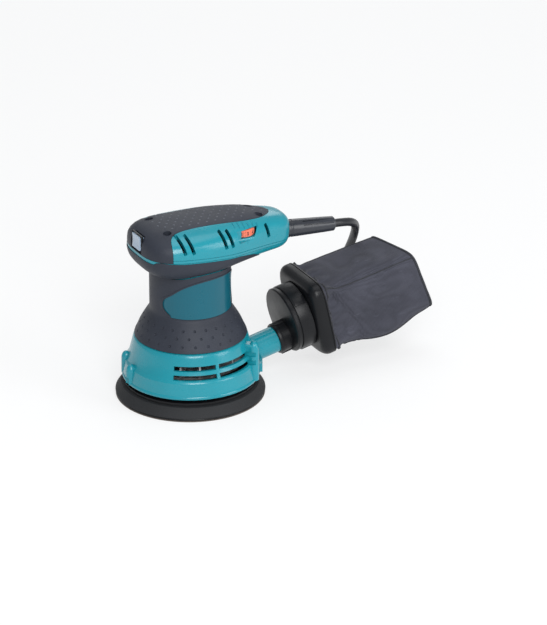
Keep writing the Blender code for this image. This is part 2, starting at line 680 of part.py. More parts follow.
# ---------------------------------------------------------------- head surface
def nose_share(x, power):
    """How much of the full section is left at a place along the head, from 0 at its tips."""
    back = NOSE_X + NOSE_LENGTH
    front = TAIL_X - TAIL_LENGTH
    if x < back:
        t = min(1.0, (back - x) / NOSE_LENGTH)
    elif x > front:
        t = min(1.0, (x - front) / TAIL_LENGTH)
        power = 2.6
    else:
        t = 0.0
    return (1 - t ** power) ** (1 / power)


def slanted(x, stations):
    """A straight-line value between stations of (x, value)."""
    for (x0, v0), (x1, v1) in zip(stations, stations[1:]):
        if x <= x1:
            return v0 + (v1 - v0) * max(0.0, (x - x0) / (x1 - x0))
    return stations[-1][1]


def head_section(x, inset, count=20):
    """The head's cross section at x, as points, drawn in by an inset."""
    taper = slanted(x, ((0.0, 1.0), (0.020, 0.955), (0.040, 0.80), (0.060, 0.63), (0.080, 0.50)))
    width = HEAD_HALF_WIDTH * taper * nose_share(x, 3.3) - inset
    crown = slanted(x, ((0.0, HEAD_CROWN), (0.045, HEAD_CROWN - 0.0010), (0.065, HEAD_CROWN - 0.0045),
                        (0.085, HEAD_CROWN - 0.0075))) * nose_share(x, 5.0) - inset
    belly = slanted(x, ((0.0, 0.0240), (0.030, 0.0182), (0.070, 0.0148), (0.085, 0.0140)))
    belly = belly * nose_share(x, 3.0) - inset
    points = []
    for a, b in oval(1.0, 1.0, HEAD_SECTION, count):
        tall = max(crown if b > 0 else belly, 0.0004)
        points.append(Vector((x, a * max(width, 0.0004), HEAD_MID_Z + b * tall)))
    return points


def head(name, inset, look=None):
    """The whole head as one solid, its skin drawn in by an inset (a negative inset lets it out)."""
    stations = []
    low = NOSE_X + inset
    high = TAIL_X - inset
    for t in (0.004, 0.06, 0.20, 0.50, 1.0):
        stations.append(low + (NOSE_LENGTH - inset) * t)
    stations += [0.019, 0.041]
    for t in (1.0, 0.50, 0.22, 0.07, 0.005):
        stations.append(high - (TAIL_LENGTH - inset) * t)
    rings = []
    for x in stations:
        shifted = x + (x < 0) * -inset * (1 - (x - low) / NOSE_LENGTH) + (x > 0.055) * inset * (
            1 - (high - x) / TAIL_LENGTH)
        points = head_section(shifted, inset)
        rings.append([Vector((x, p.y, p.z)) for p in points])
    return loft(name, rings, look)


def parting_block(name, above, gap):
    """A big block on one side of the slanted parting plane."""
    low, high = ((gap / 2, 0.060) if above else (-0.060, -gap / 2))
    block = box(name, (-0.10, -0.08, low), (0.15, 0.08, high))
    block.matrix_world = Matrix.Translation(PARTING_FRONT) @ Matrix.Rotation(atan2(PARTING_SLOPE, 1), 4, "Y")
    return block


def parting_z(x):
    return PARTING_FRONT.z - PARTING_SLOPE * (x - PARTING_FRONT.x)


def grip_outline(spread):
    """Plan outline of the rubber top: wide over the nose, narrowing to a point at the rear."""
    half = [(-0.0325, 0.0600), (-0.0303, 0.0292), (-0.0268, 0.0230), (-0.0200, 0.0198), (-0.0080, 0.0182),
            (0.0080, 0.0180), (0.0250, 0.0188), (0.0400, 0.0185), (0.0520, 0.0160), (0.0620, 0.0110),
            (0.0700, 0.0040)]
    side = [(x + spread * 0.6, y + spread) for x, y in half]
    return [(-0.0800, 0.0600)] + side + [(x, -y) for x, y in side[::-1]] + [(-0.0800, -0.0600)]


def window_outline(spread):
    """The leaf-shaped opening in the neck rubber, seen from the side as (x, z)."""
    points = [(-0.0225, 0.0785), (-0.0275, 0.0805), (-0.0305, 0.0850), (-0.0311, 0.0900), (-0.0300, 0.0945),
              (-0.0268, 0.0985), (-0.0215, 0.1040), (-0.0150, 0.1078), (-0.0060, 0.1105), (0.0060, 0.1116),
              (0.0200, 0.1112), (0.0285, 0.1090), (0.0322, 0.1030), (0.0322, 0.0860), (0.0290, 0.0800),
              (0.0230, 0.0785)]
    middle = Vector((0.0, 0.0950))
    grown = []
    for p in points:
        away = Vector(p) - middle
        grown.append(tuple(Vector(p) + away.normalized() * spread))
    return grown


def window_block(name, spread):
    """The window outline as a block through the near side of the neck."""
    turn = Matrix.Rotation(pi / 2, 4, "X")
    return plate(name, window_outline(spread), 0.0040, 0.0500, None, None, turn)


def flare_profile(inset, low, high):
    """Outer side of the flare and neck from top to bottom, drawn in by an inset."""
    points = [(NECK_R - inset, high)]
    for r, rise in FLARE[::-1]:
        points.append((r - inset, max(low, SHROUD_TOP + 0.0006 + rise)))
    return points


# ---------------------------------------------------------------- housing, covers and grips
def motor_housing():
    body = head("motor_housing", 0.0, "teal")
    keep(body, parting_block("below_parting", False, GAP))
    skin = RUBBER_T + GAP
    outer = flare_profile(skin, NECK_LOW, NECK_TOP)
    join(body, lathe("neck_outer", [(0, NECK_TOP)] + outer + [(0, NECK_LOW)], None, NECK_STEPS, False))
    band = [(NECK_R - 0.0002, 0.1135), (NECK_R - 0.0002, 0.0815), (NECK_R + 0.0004, 0.0770),
            (0.0300, 0.0770), (0.0300, 0.1135)]
    panel = keep(lathe("window_panel", band, None, NECK_STEPS), window_block("window_fill", -0.0004))
    join(body, panel)
    cut(body, head("head_hollow", HOUSING_WALL))
    bore = skin + HOUSING_WALL
    inner = [(0, NECK_TOP + 0.004), (NECK_R - bore, NECK_TOP + 0.004)]
    inner += flare_profile(bore, NECK_LOW, NECK_TOP)
    inner.append((FLARE[0][0] - bore, NECK_LOW - 0.002))
    inner.append((0, NECK_LOW - 0.002))
    cut(body, lathe("neck_hollow", inner, None, NECK_STEPS, False))
    for i, spot in enumerate(housing_screw_places()):
        angle = atan2(spot[1], spot[0])
        boss = box(f"housing_boss_{i}", (-0.0036, -0.0036, NECK_LOW + 0.0006), (0.0022, 0.0036, 0.0655))
        boss.matrix_world = Matrix.Translation((*spot, 0)) @ Matrix.Rotation(angle, 4, "Z")
        join(body, boss)
        cut(body, rod(f"housing_boss_hole_{i}", SCREW_R + GAP, NECK_LOW - 0.002, 0.0650, steps=8, at=spot))
    bar_top = parting_z(0.0065) - GAP
    bar_low = bar_top - 0.0026
    join(body, box("bridge", (-0.0065, -0.0364, bar_low), (0.0065, 0.0364, bar_top)))
    sleeve = UPPER_BEARING_R + GAP + 0.0016 + GAP
    join(body, rod("bridge_cup", sleeve + 0.0022, bar_low + 0.0003, UPPER_BEARING_Z + 0.0068, steps=26))
    cut(body, rod("bridge_bore", sleeve, UPPER_BEARING_Z - 0.0004, 0.1400, steps=22))
    cut(body, rod("bridge_shaft_hole", SHAFT_R + RUN, bar_low - 0.002, UPPER_BEARING_Z + 0.002, steps=24))
    for i, (x, y) in enumerate(SCREW_PLACES):
        top = parting_z(x) - GAP - 0.0004
        low = 0.1143 if x < 0 else 0.1208
        join(body, rod(f"lower_boss_{i}", BOSS_R, low, top, steps=10, at=(x, y)))
        cut(body, rod(f"lower_boss_hole_{i}", SCREW_R + GAP, low + 0.0030, top + 0.002, steps=8, at=(x, y)))
    cut(body, *guard_holes("guard_hole_low"))
    ring("bearing_sleeve", sleeve - GAP, UPPER_BEARING_R + GAP, UPPER_BEARING_Z, UPPER_BEARING_Z + 0.0062,
         "dark_rubber", 22)
    return body


def guard_axis():
    return Matrix.Translation(GUARD_START) @ Matrix.Rotation(pi / 2 + GUARD_DROP, 4, "Y")


def guard_holes(name):
    """The hole for the cord guard's neck, and the room behind it for its flange."""
    hole = rod(name, GUARD_NECK_R + GAP, -0.0140, 0.0080, steps=20)
    room = rod(f"{name}_room", GUARD_FLANGE_R + GAP, -0.0112, -0.0082, steps=18)
    hole.matrix_world = guard_axis()
    room.matrix_world = guard_axis()
    return [hole, room]


def neck_grip():
    outer = flare_profile(0.0, NECK_LOW + GAP, NECK_TOP - 0.0005)
    inner = flare_profile(RUBBER_T, NECK_LOW + GAP, NECK_TOP - 0.0005)[::-1]
    grip = lathe("neck_grip", outer + inner, "dark_rubber", NECK_STEPS)
    cut(grip, head("head_let_out", -3 * GAP))
    cut(grip, window_block("window_cut", 0.0))


def slot_blocks(side):
    """Slanted cooling slots through one side of the cover."""
    blocks = []
    for i, (x, low, high) in enumerate(((-0.0221, 0.1385, 0.1515), (-0.0150, 0.1380, 0.1511),
                                        (0.0141, 0.1370, 0.1503), (0.0204, 0.1366, 0.1497),
                                        (0.0577, 0.1343, 0.1455))):
        name = f"slot_{'near' if side < 0 else 'far'}_{i}"
        inner_y = 0.0237 if x < 0.040 else 0.0161
        ends = sorted((side * inner_y, side * 0.0450))
        block = box(name, (-SLOT_T / 2, ends[0], low - 0.1430), (SLOT_T / 2, ends[1], high - 0.1430))
        block.matrix_world = Matrix.Translation((x, 0, 0.1430)) @ Matrix.Rotation(radians(-12), 4, "Y")
        blocks.append(block)
    return blocks


def switch_blocks(prefix):
    """The bezel's pocket and the switch's opening through the nose."""
    wide = ROCKER_HALF_WIDTH + BEZEL_RIM + GAP
    tall = ROCKER_HALF_HEIGHT + BEZEL_RIM + GAP
    x = SWITCH_MID.x
    z = SWITCH_MID.z
    pocket = box(f"{prefix}_pocket", (x - 0.0100, -wide, z - tall),
                 (x - 0.0040 + BEZEL_T + GAP, wide, z + tall))
    opening = box(f"{prefix}_opening", (x - 0.0110, -0.0079 - GAP, z - 0.0060 - GAP),
                  (x + 0.0060 + SWITCH_DEPTH, 0.0079 + GAP, z + 0.0060 + GAP))
    return [opening, pocket]


def screw_holes(prefix, low):
    holes = []
    for i, (x, y) in enumerate(SCREW_PLACES):
        holes.append(rod(f"{prefix}_sink_{i}", SCREW_HEAD_R + RUN, SCREW_HEAD_Z - GAP, 0.1600, steps=10,
                         at=(x, y)))
        holes.append(rod(f"{prefix}_hole_{i}", SCREW_R + GAP, low, 0.1500, steps=8, at=(x, y)))
    return holes


def top_covers():
    skin = RUBBER_T
    grip = head("top_grip", 0.0, "dark_rubber")
    cut(grip, head("grip_hollow", skin))
    keep(grip, plate("grip_region", grip_outline(0.0), 0.1100, 0.1700))
    keep(grip, parting_block("above_parting_grip", True, GAP))
    cover = head("top_cover", 0.0, "teal")
    cut(cover, plate("grip_room", grip_outline(GAP), 0.1100, 0.1700))
    join(cover, head("cover_core", skin + 4 * GAP))
    keep(cover, parting_block("above_parting", True, GAP))
    cut(cover, head("cover_hollow", COVER_WALL + 0.0006))
    cut(cover, box("clamp_room", (0.0625, -0.0120, 0.1200), (0.0738, 0.0120, 0.1300)))
    for i, (x, y) in enumerate(SCREW_PLACES):
        foot = parting_z(x) + GAP
        roof = 0.1487 if x < 0 else 0.1457
        join(cover, rod(f"upper_boss_{i}", BOSS_R, foot, roof, steps=10, at=(x, y)))
    window_low = DIAL_MID.z - DIAL_T / 2 - RUN
    window_high = DIAL_MID.z + DIAL_T / 2 + RUN
    cut(cover, rod("dial_room", DIAL_R + RUN, window_low, window_high, steps=24, at=DIAL_MID.xy))
    cut(cover, box("dial_window", (DIAL_MID.x - DIAL_WINDOW / 2, -0.0400, window_low - GAP),
                   (DIAL_MID.x + DIAL_WINDOW / 2, DIAL_MID.y - 0.0053, window_high + GAP)))
    for side in (-1, 1):
        cut(cover, *slot_blocks(side))
    cut(cover, *switch_blocks("cover"))
    cut(grip, *switch_blocks("grip"))
    cut(cover, *screw_holes("cover", 0.1200))
    cut(grip, *screw_holes("grip", 0.1300))
    cut(cover, *guard_holes("guard_hole_high"))
    for i, (x, y) in enumerate(SCREW_PLACES):
        low = (0.1190 if x < 0 else 0.1245)
        profile = [(0, SCREW_HEAD_Z + SCREW_HEAD_T - 0.0011), (0.0014, SCREW_HEAD_Z + SCREW_HEAD_T - 0.0011),
                   (0.0014, SCREW_HEAD_Z + SCREW_HEAD_T), (SCREW_HEAD_R, SCREW_HEAD_Z + SCREW_HEAD_T),
                   (SCREW_HEAD_R, SCREW_HEAD_Z), (SCREW_R, SCREW_HEAD_Z), (SCREW_R, low), (0, low)]
        lathe(f"cover_screw_{i + 1}", profile, "steel", 10, False, (x, y, 0))


def controls():
    x = SWITCH_MID.x
    z = SWITCH_MID.z
    wide = ROCKER_HALF_WIDTH + BEZEL_RIM
    tall = ROCKER_HALF_HEIGHT + BEZEL_RIM
    bezel = box("switch_bezel", (x - 0.0040, -wide, z - tall), (x - 0.0040 + BEZEL_T, wide, z + tall),
                "black_plastic")
    hole_w = ROCKER_HALF_WIDTH + GAP
    hole_h = ROCKER_HALF_HEIGHT + RUN
    cut(bezel, box("bezel_hole", (x - 0.0100, -hole_w, z - hole_h), (x + 0.0100, hole_w, z + hole_h)))
    soften(bezel, 0.0005)
    pivot = empty("switch_pivot", Matrix.Translation(SWITCH_MID))
    outline = [(-0.0038, 0.0050), (-0.0028, 0.0), (-0.0042, -0.0050), (-0.0038, -ROCKER_HALF_HEIGHT),
               (0.0018, -0.0042), (0.0018, 0.0042), (-0.0034, ROCKER_HALF_HEIGHT)]
    rocker = plate("switch_rocker", outline, -ROCKER_HALF_WIDTH, ROCKER_HALF_WIDTH, "pale_switch", None,
                   Matrix.Rotation(pi / 2, 4, "X"))
    rocker.parent = pivot
    box("switch_body", (x + 0.0032, -0.0079, z - 0.0060), (x + 0.0032 + SWITCH_DEPTH, 0.0079, z + 0.0060),
        "black_plastic")
    outline = []
    for i in range(DIAL_RIBS):
        root = DIAL_R - 0.0007
        for turn, radius in ((-0.25, DIAL_R), (0.15, DIAL_R), (0.3, root), (0.6, root)):
            spot = around(radius, 2 * pi * (i + turn) / DIAL_RIBS)
            outline.append((spot.x, spot.y))
    dial_axis = empty("dial_axis", Matrix.Translation(DIAL_MID))
    dial = plate("speed_dial", outline, -DIAL_T / 2, DIAL_T / 2, "orange", dial_axis)
    board_top = DIAL_MID.z - DIAL_T / 2 - 0.0024
    join(dial, rod("dial_stem", 0.0025, board_top - DIAL_MID.z + GAP, 0, steps=16, parent=dial_axis))
    box("speed_board", (0.0200, -0.0205, board_top - 0.0016), (0.0500, 0.0125, board_top), "board_green")
    box("capacitor", (0.0230, 0.0010, board_top + GAP), (0.0420, 0.0110, board_top + 0.0072),
        "black_plastic", None, 0.0006)


# ---------------------------------------------------------------- cord
def along_guard(distance):
    return GUARD_START + Vector((cos(GUARD_DROP), 0, -sin(GUARD_DROP))) * distance


def cord_exit():
    bore = CORD_R + GAP
    taper = (GUARD_TIP_R - GUARD_ROOT_R) / GUARD_LENGTH
    profile = [(GUARD_TIP_R - 0.0008, GUARD_LENGTH), (GUARD_TIP_R, GUARD_LENGTH - 0.0008)]
    for low, high in ((0.0330, 0.0316), (0.0262, 0.0248), (0.0194, 0.0180)):
        for z, drop in ((low, 0.0), (low - 0.0003, 0.0007), (high + 0.0003, 0.0007), (high, 0.0)):
            profile.append((GUARD_ROOT_R + taper * z - drop, z))
    profile += [(GUARD_ROOT_R, 0.0006), (GUARD_NECK_R, 0.0006), (GUARD_NECK_R, -0.0085),
                (GUARD_FLANGE_R, -0.0085), (GUARD_FLANGE_R, -0.0105), (bore, -0.0105), (bore, GUARD_LENGTH)]
    guard = lathe("cord_guard", profile, "black_plastic", 14)
    guard.matrix_world = guard_axis()
    middle = along_guard(-0.0160)
    floor = 0.1262
    clamp_top = middle.z + 0.0062
    clamp = box("cord_clamp", (middle.x - 0.0030, -0.0092, floor), (middle.x + 0.0030, 0.0092, clamp_top),
                "black_plastic")
    hole = rod("clamp_hole", bore, -0.03, 0.02, steps=20)
    hole.matrix_world = guard_axis()
    cut(clamp, hole)
    for i, side in enumerate((-1, 1)):
        spot = (middle.x, side * 0.0066)
        low = floor - 0.002
        cut(clamp, rod(f"clamp_screw_room_{i}", 0.0015 + GAP, low, clamp_top + 0.002, steps=8, at=spot))
        top = clamp_top + GAP
        profile = [(0, top + 0.0014), (0.0026, top + 0.0014), (0.0026, top), (0.0015, top),
                   (0.0015, floor + 0.0004), (0, floor + 0.0004)]
        lathe(f"clamp_screw_{i + 1}", profile, "steel", 8, False, (*spot, 0))
    tube("cord_lead", catmull(LEAD, 0.0075), CORD_R - 0.00005, "black_plastic")
    low = COIL_LIFT
    high = COIL_LIFT + 2 * COIL_HALF
    ease = 0.0030
    outer = COIL_MEAN_R + COIL_HALF
    inner = COIL_MEAN_R - COIL_HALF
    profile = [(outer - ease, high), (outer, high - ease), (outer, low + ease), (outer - ease, low),
               (inner + ease, low), (inner, low + ease), (inner, high - ease), (inner + ease, high)]
    lathe("cord_coil", profile, "black_plastic", 24, True, COIL_MID)
    tie_mid = Matrix.Translation(COIL_MID) @ Matrix.Rotation(radians(-60), 4, "Z")
    tie = box("cord_tie", (inner - GAP - TIE_T - 0.0009, -0.0040, COIL_LIFT - GAP - TIE_T + 0.00005),
              (outer + GAP + TIE_T, 0.0040, high + GAP + TIE_T), "black_plastic")
    tie.matrix_world = tie_mid
    room = box("tie_room", (inner - GAP - 0.0009, -0.0060, COIL_LIFT - GAP),
               (outer + GAP, 0.0060, high + GAP))
    room.matrix_world = tie_mid
    cut(tie, room)
    tube("cord_tail", catmull(TAIL, 0.0075), CORD_R - 0.00005, "black_plastic")
    plug(catmull(TAIL, 0.0075))


def plug(points):
    """A two-blade mains plug that lies on the coil in line with the cord's last stretch."""
    direction = (points[-1] - points[-2]).normalized()
    heading = atan2(direction.y, direction.x)
    frame = Matrix.Translation(points[-1]) @ Matrix.Rotation(heading, 4, "Z")
    frame = frame @ Matrix.Rotation(pi / 2, 4, "Y")
    sections = ((GAP, 0.0050, 0.0050), (0.0080, 0.0058, 0.0056), (0.0110, 0.0085, 0.0075),
                (0.0150, 0.0110, 0.0088), (0.0150 + PLUG_LENGTH * 0.5, PLUG_W / 2, PLUG_H / 2),
                (PLUG_LENGTH + 0.0050, PLUG_W / 2 - 0.0010, PLUG_H / 2 - 0.0010))
    rings = []
    for z, wide, tall in sections:
        rings.append([Vector((b, a, z)) for a, b in oval(wide, tall, 3.0, 20)])
    body = loft("plug", rings, "black_plastic")
    body.matrix_world = frame
    for i, side in enumerate((-1, 1)):
        y = side * 0.00635
        blade = box(f"blade_{i}", (-0.0032, y - 0.00075, PLUG_LENGTH),
                    (0.0032, y + 0.00075, PLUG_LENGTH + 0.0220))
        blade.matrix_world = frame
        join(body, blade)


# ---------------------------------------------------------------- dust nozzle and bag
def rounded(half_width, half_height, z, power=4.0, count=24, shift=0.0):
    """A ring of a lofted form along the spout axis; X is down, so the height runs along X."""
    return [Vector((a - CAP_RISE, b, z + shift * b)) for a, b in oval(half_height, half_width, power, count)]


def dust_nozzle(spout_axis):
    """Coupling that slides on the spout, and the round cap that the bag's frame locks into."""
    end = CAP_START + CAP_T
    nozzle = rod("dust_nozzle", COUPLING_R, -0.0005, CAP_START + 0.003, "black_plastic", 22,
                 parent=spout_axis)
    profile = [(0, end), (CAP_R - 0.0010, end), (CAP_R, end - 0.0010), (CAP_R, CAP_START + 0.0050),
               (CAP_R - 0.0008, CAP_START + 0.0044), (CAP_R - 0.0008, CAP_START + 0.0034),
               (CAP_R, CAP_START + 0.0028), (CAP_R - 0.0010, CAP_START), (0, CAP_START)]
    join(nozzle, lathe("cap_outer", profile, None, 25, False, (-CAP_RISE, 0, 0), spout_axis))
    tab = box("nozzle_tab", (0.0080, -0.0030, 0.0020), (0.0146, 0.0030, CAP_START + 0.001), None, spout_axis)
    join(nozzle, tab)
    hollow = rod("cap_hollow", CAP_R - CAP_WALL, CAP_START + CAP_WALL, end - CAP_WALL, steps=24,
                 at=(-CAP_RISE, 0), parent=spout_axis)
    cut(nozzle, hollow)
    cut(nozzle, rod("cap_mouth", MOUTH_R + GAP + 0.0004, end - CAP_WALL - 0.001, end + 0.002, steps=20,
                    at=(-CAP_RISE, 0), parent=spout_axis))
    cut(nozzle, rod("coupling_bore", SPOUT_R + GAP, -0.004, SPOUT_REACH + GAP, steps=20, parent=spout_axis))
    cut(nozzle, rod("coupling_throat", SPOUT_R - SPOUT_WALL, SPOUT_REACH - 0.001,
                    CAP_START + CAP_WALL + 0.001, steps=22, parent=spout_axis))


def dust_bag(spout_axis):
    start = CAP_START + CAP_T + GAP
    back = start + FRAME_T
    rings = [rounded(FRAME_HALF_WIDTH - 0.0045, FRAME_HALF_HEIGHT - 0.0045, start),
             rounded(FRAME_HALF_WIDTH - 0.0010, FRAME_HALF_HEIGHT - 0.0010, start + 0.0030),
             rounded(FRAME_HALF_WIDTH, FRAME_HALF_HEIGHT, start + 0.0060),
             rounded(FRAME_HALF_WIDTH, FRAME_HALF_HEIGHT, back)]
    frame = loft("bag_frame", rings, "black_plastic", spout_axis)
    collar = ring("frame_collar", MOUTH_R, MOUTH_R - 0.0020, start - CAP_WALL - 0.0030, start + 0.0040,
                  None, 20, (-CAP_RISE, 0), spout_axis)
    join(frame, collar)
    rings = [rounded(FRAME_HALF_WIDTH - 0.0030, FRAME_HALF_HEIGHT - 0.0030, start + 0.0040),
             rounded(FRAME_HALF_WIDTH - 0.0024, FRAME_HALF_HEIGHT - 0.0024, back + 0.002)]
    cut(frame, loft("frame_hollow", rings, None, spout_axis))
    cut(frame, rod("frame_mouth", MOUTH_R - 0.0020, start - 0.008, start + 0.008, steps=16,
                   at=(-CAP_RISE, 0), parent=spout_axis))
    first = back + GAP
    rings = []
    for share in (0.0, 0.10, 0.30, 0.50, 0.70, 0.90, 1.0):
        wide = FRAME_HALF_WIDTH - 0.0005 + (BAG_END_HALF_WIDTH - FRAME_HALF_WIDTH) * share
        tall = FRAME_HALF_HEIGHT - 0.0005 + (BAG_END_HALF_HEIGHT - FRAME_HALF_HEIGHT) * share
        skew = -0.16 * share
        rings.append(rounded(wide, tall, first + (BAG_LENGTH - 0.002) * share, 4.0, 24, skew))
    bag = loft("dust_bag", rings, "cloth", spout_axis)
    deep = first + BAG_LENGTH * 0.80
    hollow = []
    for share in (0.0, 0.5, 1.0):
        wide = (FRAME_HALF_WIDTH + (BAG_END_HALF_WIDTH - FRAME_HALF_WIDTH) * share) - 0.0040
        tall = (FRAME_HALF_HEIGHT + (BAG_END_HALF_HEIGHT - FRAME_HALF_HEIGHT) * share) - 0.0050
        hollow.append(rounded(wide, tall, first - 0.002 + (deep - first) * share, 4.0, 24))
    cut(bag, loft("bag_hollow", hollow, None, spout_axis))


def main():
    clear_scene()
    spout_axis = spout_frame()
    sanding_pad()
    rotor()
    stator()
    brushes()
    shroud(spout_axis)
    lower_internals()
    motor_housing()
    neck_grip()
    top_covers()
    controls()
    cord_exit()
    dust_nozzle(spout_axis)
    dust_bag(spout_axis)
    bpy.context.view_layer.update()


main()
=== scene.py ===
import json
from math import atan2, cos, exp, pi, radians, sin, sqrt

import bmesh
import bpy
from mathutils import Matrix, Vector, noise


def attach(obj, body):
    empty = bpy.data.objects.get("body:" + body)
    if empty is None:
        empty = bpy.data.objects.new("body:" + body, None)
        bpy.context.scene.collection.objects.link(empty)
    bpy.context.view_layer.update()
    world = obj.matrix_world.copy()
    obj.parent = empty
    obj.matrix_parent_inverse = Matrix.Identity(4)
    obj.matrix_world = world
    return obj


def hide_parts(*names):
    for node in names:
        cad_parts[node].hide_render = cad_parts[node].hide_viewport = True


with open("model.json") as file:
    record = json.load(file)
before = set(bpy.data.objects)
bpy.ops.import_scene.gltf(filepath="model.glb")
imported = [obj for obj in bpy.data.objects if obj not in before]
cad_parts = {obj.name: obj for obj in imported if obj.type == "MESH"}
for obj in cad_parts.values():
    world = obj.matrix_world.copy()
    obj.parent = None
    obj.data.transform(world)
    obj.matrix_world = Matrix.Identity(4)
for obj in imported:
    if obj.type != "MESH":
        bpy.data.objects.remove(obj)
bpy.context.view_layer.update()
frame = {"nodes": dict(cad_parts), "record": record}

SCENE = bpy.context.scene
NODES = frame["nodes"]

# ---------------------------------------------------------------- sizes shared with the frame, in metres
ORBIT = 0.0014
PAD_R = 0.0615
SHROUD_LOW, SHROUD_TOP, SHROUD_WALL = 0.0175, 0.0535, 0.0024
COLUMN_R, COLUMN_CIRCLE_R = 0.0042, 0.0540
SPOUT_R, SPOUT_WALL, SPOUT_TILT, SPOUT_REACH = 0.0110, 0.0022, radians(12.8), 0.0070
SPOUT_AT = Vector((0.0770, 0.0, 0.0310))
RUBBER_T, NECK_R, NECK_TOP = 0.0018, 0.0333, 0.1250
FLARE = ((0.0460, 0.0000), (0.0440, 0.0045), (0.0413, 0.0105), (0.0370, 0.0178), (0.0338, 0.0228),
         (0.0333, 0.0262))
NOSE_X, NOSE_LENGTH, TAIL_X, TAIL_LENGTH = -0.0478, 0.0463, 0.0850, 0.0230
HALF_WIDTH, MID_Z, CROWN, POWER, BELLY_POWER = 0.0380, 0.1355, 0.0178, 2.6, 3.2
PARTING_FRONT, PARTING_SLOPE = Vector((-0.0450, 0.0, 0.1335)), 0.0765
SCREW_PLACES = ((-0.0280, 0.0170), (-0.0280, -0.0170), (0.0570, 0.0100), (0.0570, -0.0100))
SLOTS = ((-0.0221, 0.1385, 0.1515), (-0.0150, 0.1380, 0.1511), (0.0141, 0.1370, 0.1503),
         (0.0204, 0.1366, 0.1497), (0.0577, 0.1343, 0.1455))
SLOT_MID_Z, SLOT_WIDTH, SLOT_TILT = 0.1430, 0.0030, radians(12)
VENT_LEVELS, VENT_T, VENT_SPAN, VENT_RIB = (0.0348, 0.0419), 0.0040, radians(40.5), radians(3.0)
TAIL_STEPS = (0.035, 0.08, 0.14, 0.21, 0.29, 0.38, 0.48, 0.58, 0.69, 0.80, 0.90, 1.0)
NOSE_STEPS = (1.0, 0.88, 0.76, 0.64, 0.53, 0.42, 0.32, 0.23, 0.15, 0.08, 0.035)
HOLES, HOLE_R, HOLE_CIRCLE_R = 8, 0.0047, 0.0325
SWITCH_MID = Vector((-0.0440, 0.0, 0.1420))
DIAL_MID, DIAL_R, DIAL_T = Vector((0.0380, -0.0193, 0.1430)), 0.0106, 0.0056
CORD_R = 0.0035
GUARD_START, GUARD_DROP, GUARD_LENGTH = Vector((0.0850, 0.0, 0.1280)), radians(4.8), 0.0456
COIL_MID = Vector((0.2090, 0.1030, 0.0))
LEAD = ((0.1180, 0.0000, 0.1252), (0.1300, 0.0000, 0.1242), (0.1400, 0.0010, 0.1230),
        (0.1500, 0.0060, 0.1195), (0.1585, 0.0145, 0.1130), (0.1645, 0.0245, 0.1035),
        (0.1680, 0.0350, 0.0910), (0.1690, 0.0450, 0.0770), (0.1680, 0.0540, 0.0620),
        (0.1655, 0.0620, 0.0470), (0.1620, 0.0700, 0.0325), (0.1585, 0.0790, 0.0195),
        (0.1558, 0.0890, 0.0100), (0.1546, 0.0990, 0.0052))
TAIL = ((0.2215, 0.1413, 0.0262), (0.2330, 0.1372, 0.0268), (0.2425, 0.1290, 0.0278),
        (0.2475, 0.1180, 0.0292), (0.2465, 0.1065, 0.0305), (0.2395, 0.0975, 0.0315),
        (0.2290, 0.0935, 0.0320))
CAP_RISE, CAP_R, CAP_START, CAP_T, MOUTH_R = 0.0135, 0.0280, 0.0100, 0.0170, 0.0150
FRAME_W, FRAME_H, FRAME_T = 0.0330, 0.0335, 0.0120
BAG_LENGTH, BAG_END_W, BAG_END_H = 0.0850, 0.0310, 0.0215
SPOUT = Matrix.Translation(SPOUT_AT) @ Matrix.Rotation(pi / 2 - SPOUT_TILT, 4, "Y")
CAP = SPOUT @ Matrix.Translation((-CAP_RISE, 0, 0))


# ---------------------------------------------------------------- camera
def camera():
    """The photograph's view: a little from the switch end, looking down, from 3 m."""
    azimuth, elevation, distance = radians(-27.0), radians(24.0), 3.00
    aim = Vector((0.0601, -0.0306, 0.0703))
    back = Vector((sin(azimuth) * cos(elevation), -cos(azimuth) * cos(elevation), sin(elevation)))
    data = bpy.data.cameras.new("camera")
    data.sensor_width = 36.0
    data.lens = 212.7
    data.clip_start, data.clip_end = 0.05, 60.0
    ob = bpy.data.objects.new("camera", data)
    SCENE.collection.objects.link(ob)
    ob.location = aim + back * distance
    ob.rotation_mode = "QUATERNION"
    ob.rotation_quaternion = (-back).to_track_quat("-Z", "Y")
    SCENE.camera = ob


